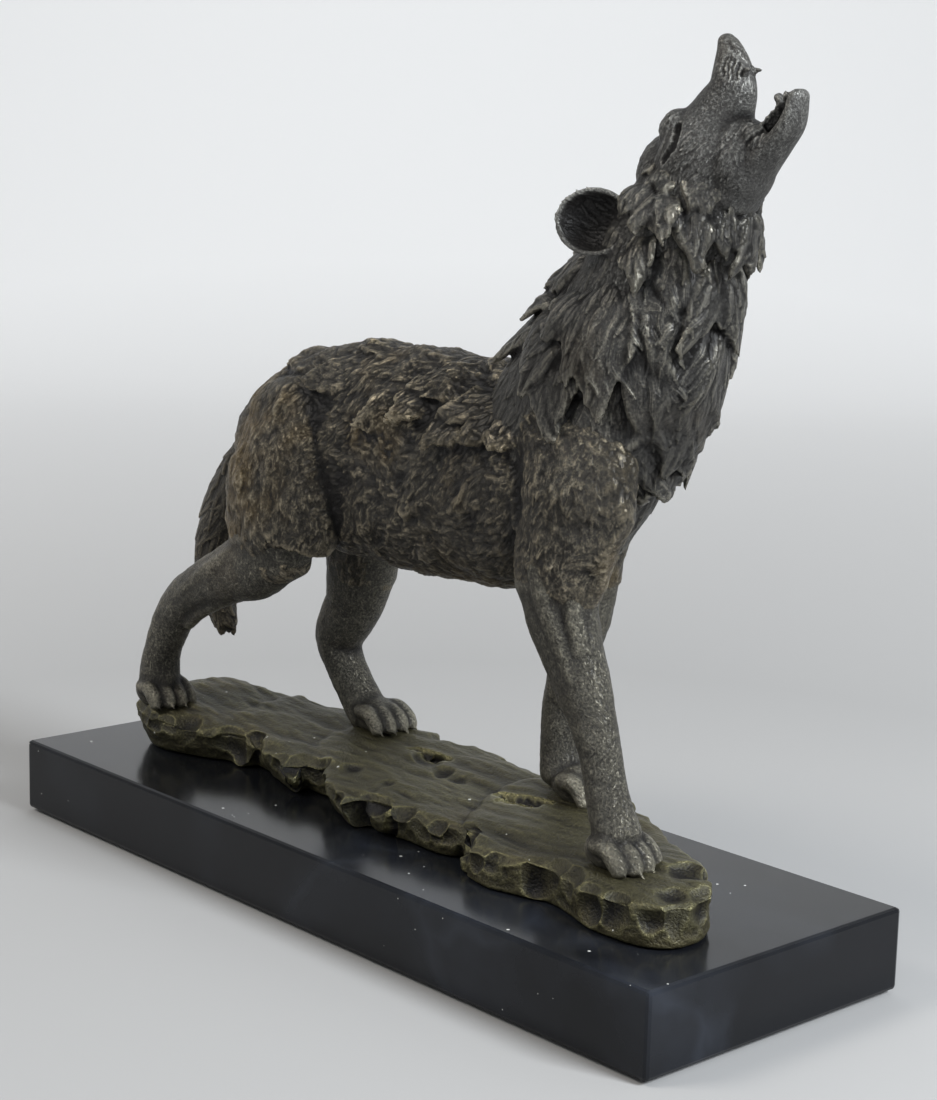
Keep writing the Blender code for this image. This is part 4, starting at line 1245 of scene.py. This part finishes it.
class WOLF_OT_mane(Operator):
    """Neck and its mane of overlapping locks"""
    bl_idname = "wolf.mane"
    bl_label = "Mane"

    def execute(self, context):
        settings = context.scene.wolf
        clay = Clay()
        add_limb(clay, flat_path(NECK[:6]), way=-1.0, coat=MANE_COAT)
        lay_locks(clay, NECK, MANE_LOCKS, [RUFF_COAT] * 6 + [MANE_COAT] * (len(MANE_LOCKS) - 6))
        lay_locks(clay, NECK, CHEEK_LOCKS, [FACE_COAT] * len(CHEEK_LOCKS))
        item = fused(clay, "mane", settings.mane_grain)
        material = bronze("bronze mane", settings, brown=(0.036, 0.034, 0.031), gold=(0.28, 0.262, 0.215))
        finished(item, clay, 5, settings, material, swirl=0.4, melt=2, lumps=0.4, deepen=0.35)
        return {"FINISHED"}


class WOLF_OT_trunk(Operator):
    """Trunk and thighs with their coat"""
    bl_idname = "wolf.trunk"
    bl_label = "Trunk"

    def execute(self, context):
        settings = context.scene.wolf
        clay = Clay()
        add_limb(clay, flat_path(TRUNK), way=-1.0, coat=BODY_COAT, crest=0.12)
        for limb in (RIGHT_THIGH, LEFT_THIGH[:5], RIGHT_FORELEG[:4], LEFT_FORELEG[:4]):
            add_limb(clay, limb, coat=HAUNCH_COAT)
        lay_locks(clay, TRUNK, FLANK_LOCKS, [BODY_COAT] * len(FLANK_LOCKS), 0.65)
        item = fused(clay, "trunk", settings.trunk_grain)
        material = bronze("bronze coat", settings, ochre=0.9)
        finished(item, clay, 8, settings, material, swirl=0.7, melt=4, lumps=1.3, deepen=0.4)
        return {"FINISHED"}


class WOLF_OT_legs(Operator):
    """Legs and paws"""
    bl_idname = "wolf.legs"
    bl_label = "Legs"

    def execute(self, context):
        settings = context.scene.wolf
        clay = Clay()
        for limb in (RIGHT_FORELEG[3:], LEFT_FORELEG[3:], RIGHT_THIGH[3:], RIGHT_SHANK, LEFT_THIGH[3:],
                     LEFT_SHANK):
            add_limb(clay, limb, coat=LEG_COAT)
        for tendon in TENDONS:
            add_limb(clay, tendon, coat=LEG_COAT, sides=12)
        for x, y in PAWS:
            add_paw(clay, x, y)
        item = fused(clay, "legs", settings.leg_grain)
        material = bronze("bronze leg", settings, brown=(0.034, 0.031, 0.025), gold=(0.36, 0.335, 0.26),
                          rub=0.8, grit=0.7)
        finished(item, clay, 13, settings, material, swirl=0.3, melt=4, lumps=0.45)
        return {"FINISHED"}


class WOLF_OT_tail(Operator):
    """Tail with its long strands"""
    bl_idname = "wolf.tail"
    bl_label = "Tail"

    def execute(self, context):
        settings = context.scene.wolf
        clay = Clay()
        add_limb(clay, TAIL, coat=TAIL_COAT)
        for strand in range(TAIL_STRANDS):
            turn = 2 * math.pi * strand / TAIL_STRANDS
            tip = -4.0 if strand % 2 else 0.0
            rows = [(x + 0.62 * depth * math.cos(turn), y + 0.62 * width * math.sin(turn), z + tip, 3.6, 2.8)
                    for x, y, z, depth, width in TAIL[1:]]
            rows[-1] = (*rows[-1][:3], 1.2, 1.2)
            add_limb(clay, rows, coat=TAIL_COAT, sides=12)
        item = fused(clay, "tail", settings.leg_grain)
        material = bronze("bronze tail", settings, rub=0.1)
        finished(item, clay, 21, settings, material, swirl=0.25, melt=2, deepen=0.4)
        return {"FINISHED"}


class WOLF_OT_ledge(Operator):
    """The rock ledge that the wolf stands on"""
    bl_idname = "wolf.ledge"
    bl_label = "Rock Ledge"

    def execute(self, context):
        settings = context.scene.wolf
        clay = Clay()
        for plate in range(len(PLATES)):
            add_plate(clay, plate)
        item = fused(clay, "rock_ledge", settings.ledge_grain)
        data = item.data
        points = relaxed(data, coordinates(data), 3)
        put_points(data, points)
        above = ((points[:, 2] - LEDGE_SEAT) / 3.0).clip(0.0, 1.0)
        flat = vectors(data, "normal")[:, 2].clip(0.0, 1.0)
        flowing = np.array([noise.fractal((p[0] / 34, p[1] / 9, p[2] / 9), 0.9, 2.0, 3) for p in points])
        craggy = np.array([noise.fractal((p[0] / 11, p[1] / 10, p[2] / 7), 0.7, 2.2, 3) for p in points])
        rough = 1.3 * flowing * flat + 1.0 * craggy * (1.0 - 0.8 * flat)
        chance = random.Random(FACET_SEED)
        broken = list(CHIPS)
        for plate in range(len(PLATES)):
            broken.extend(facets(plate, chance))
        points = chipped(points + vectors(data, "normal") * (rough * above)[:, None], broken)
        points[:, 2] = points[:, 2].clip(LEDGE_SEAT)
        put_points(data, points)
        carve(item, CRACKS, 2.4, 4.0, hands=(1,))
        points = coordinates(data)
        points[:, 2] = points[:, 2].clip(LEDGE_SEAT)
        put_points(data, points)
        # Only a little broad painted shade on the ledge, so its chips stay light; small hollows still darken
        # as patina and painted shade
        mark_relief(data, 0.7, 0.06)
        material = bronze("bronze ledge", settings, brown=tuple(settings.ledge_olive),
                          gold=(0.26, 0.24, 0.125), rub=0.4, grit=0.9, dust=0.46)
        declare(item, material)
        return {"FINISHED"}


class WOLF_OT_slab(Operator):
    """The polished marble slab"""
    bl_idname = "wolf.slab"
    bl_label = "Marble Slab"

    def execute(self, context):
        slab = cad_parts["marble_slab"]
        slab.data.materials.clear()
        slab.data.materials.append(marble(context.scene.wolf))
        return {"FINISHED"}


class WOLF_OT_fixings(Operator):
    """Steel studs, washers and nuts, and felt pads"""
    bl_idname = "wolf.fixings"
    bl_label = "Fixings and Pads"

    def execute(self, context):
        steel, tree, shader = shader_of("zinc steel")
        shader.inputs["Metallic"].default_value = 1.0
        grained(tree, shader, 900.0, (0.34, 0.35, 0.36), (0.56, 0.57, 0.58), 0.28, 0.5, 0.0001)
        felt, tree, shader = shader_of("green felt")
        shader.inputs["Sheen Weight"].default_value = 0.4
        grained(tree, shader, 2200.0, (0.010, 0.028, 0.016), (0.03, 0.06, 0.04), 0.85, 1.0, 0.0004)
        for name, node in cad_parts.items():
            if name.startswith(("stud", "washer", "nut", "felt")):
                node.data.materials.clear()
                node.data.materials.append(felt if name.startswith("felt") else steel)
        return {"FINISHED"}


def add_backdrop(scene):
    """A floor that curves up into a wall behind the figurine: pale, with painted shade near the figurine."""
    behind, beside = Vector(BACKDROP_BEHIND), Vector(BACKDROP_BESIDE)
    profile = [(BACKDROP_FRONT, 0.0)]
    for degrees in range(0, 91, 6):
        angle = math.radians(degrees)
        profile.append((BACKDROP_BEND + BACKDROP_RADIUS * math.sin(angle),
                        BACKDROP_RADIUS - BACKDROP_RADIUS * math.cos(angle)))
    profile.append((BACKDROP_BEND + BACKDROP_RADIUS, BACKDROP_TOP))
    points = [behind * distance + beside * reach + Vector((0, 0, rise))
              for distance, rise in profile for reach in (-BACKDROP_HALF_WIDTH, BACKDROP_HALF_WIDTH)]
    faces = [(2 * row, 2 * row + 1, 2 * row + 3, 2 * row + 2) for row in range(len(profile) - 1)]
    data = bpy.data.meshes.new("backdrop")
    data.from_pydata(points, [], faces)
    shade_smooth(data)
    floor = bpy.data.objects.new("backdrop", data)
    scene.collection.objects.link(floor)
    material, tree, shader = shader_of("pale floor")
    # The floor's colour is darker near the figurine, painted shade that holds down the lamps' pool of light
    # there, and pale on the far floor and up the wall
    away = wired(tree, "VectorMath", {0: object_place(tree)}, operation="LENGTH").outputs["Value"]
    painted_light_fade = ramp(tree, away, 0.4, 2.1, "LINEAR")
    feed(tree, shader, {
        "Base Color": blend(tree, painted_light_fade, (0.36, 0.356, 0.352, 1), (0.93, 0.92, 0.91, 1)),
        "Roughness": 0.8,
    })
    data.materials.append(material)


def add_light(scene):
    """An even sky and the lamps."""
    world = bpy.data.worlds.new("studio")
    scene.world = world
    world.use_nodes = True
    sky = world.node_tree.nodes["Background"]
    feed(world.node_tree, sky, {"Color": (0.92, 0.96, 1.0, 1), "Strength": 0.5})
    for name, place, aim, size, power, colour in LAMPS:
        lamp = bpy.data.lights.new(name, "AREA")
        lamp.size = size
        lamp.energy = power
        lamp.color = colour
        item = bpy.data.objects.new(name, lamp)
        item.location = place
        item.rotation_euler = (Vector(aim) - Vector(place)).to_track_quat("-Z", "Y").to_euler()
        scene.collection.objects.link(item)


def add_camera(scene):
    """The camera, where the photograph was taken from."""
    lens = bpy.data.cameras.new("camera")
    lens.lens = CAMERA_LENS
    lens.sensor_width = 36.0
    camera = bpy.data.objects.new("camera", lens)
    look = Vector(CAMERA_AIM).to_track_quat("-Z", "Y")
    camera.location = CAMERA_PLACE
    roll = Matrix.Rotation(math.radians(CAMERA_ROLL), 4, "Z")
    camera.rotation_euler = (look.to_matrix().to_4x4() @ roll).to_euler()
    scene.collection.objects.link(camera)
    scene.camera = camera


class WOLF_OT_stage(Operator):
    """Floor, lights and camera"""
    bl_idname = "wolf.stage"
    bl_label = "Stage"

    def execute(self, context):
        add_backdrop(context.scene)
        add_light(context.scene)
        add_camera(context.scene)
        context.scene.view_settings.view_transform = "Standard"
        return {"FINISHED"}


class WOLF_PT_panel(Panel):
    """Buttons for the figurine's pieces"""
    bl_label = "Howling Wolf"
    bl_idname = "WOLF_PT_panel"
    bl_space_type = "VIEW_3D"
    bl_region_type = "UI"
    bl_category = "Wolf"

    def draw(self, context):
        for name in WolfSettings.__annotations__:
            self.layout.prop(context.scene.wolf, name)
        for operator in OPERATORS:
            self.layout.operator(operator.bl_idname)


OPERATORS = (WOLF_OT_head, WOLF_OT_mane, WOLF_OT_trunk, WOLF_OT_legs, WOLF_OT_tail, WOLF_OT_ledge,
             WOLF_OT_slab, WOLF_OT_fixings, WOLF_OT_stage)
CLASSES = (WolfSettings, *OPERATORS, WOLF_PT_panel)


def register():
    for each in CLASSES:
        bpy.utils.register_class(each)
    bpy.types.Scene.wolf = PointerProperty(type=WolfSettings)


def unregister():
    del bpy.types.Scene.wolf
    for each in reversed(CLASSES):
        bpy.utils.unregister_class(each)


def main():
    register()
    for operator in OPERATORS:
        family, name = operator.bl_idname.split(".")
        getattr(getattr(bpy.ops, family), name)()


if __name__ == "__main__":
    main()
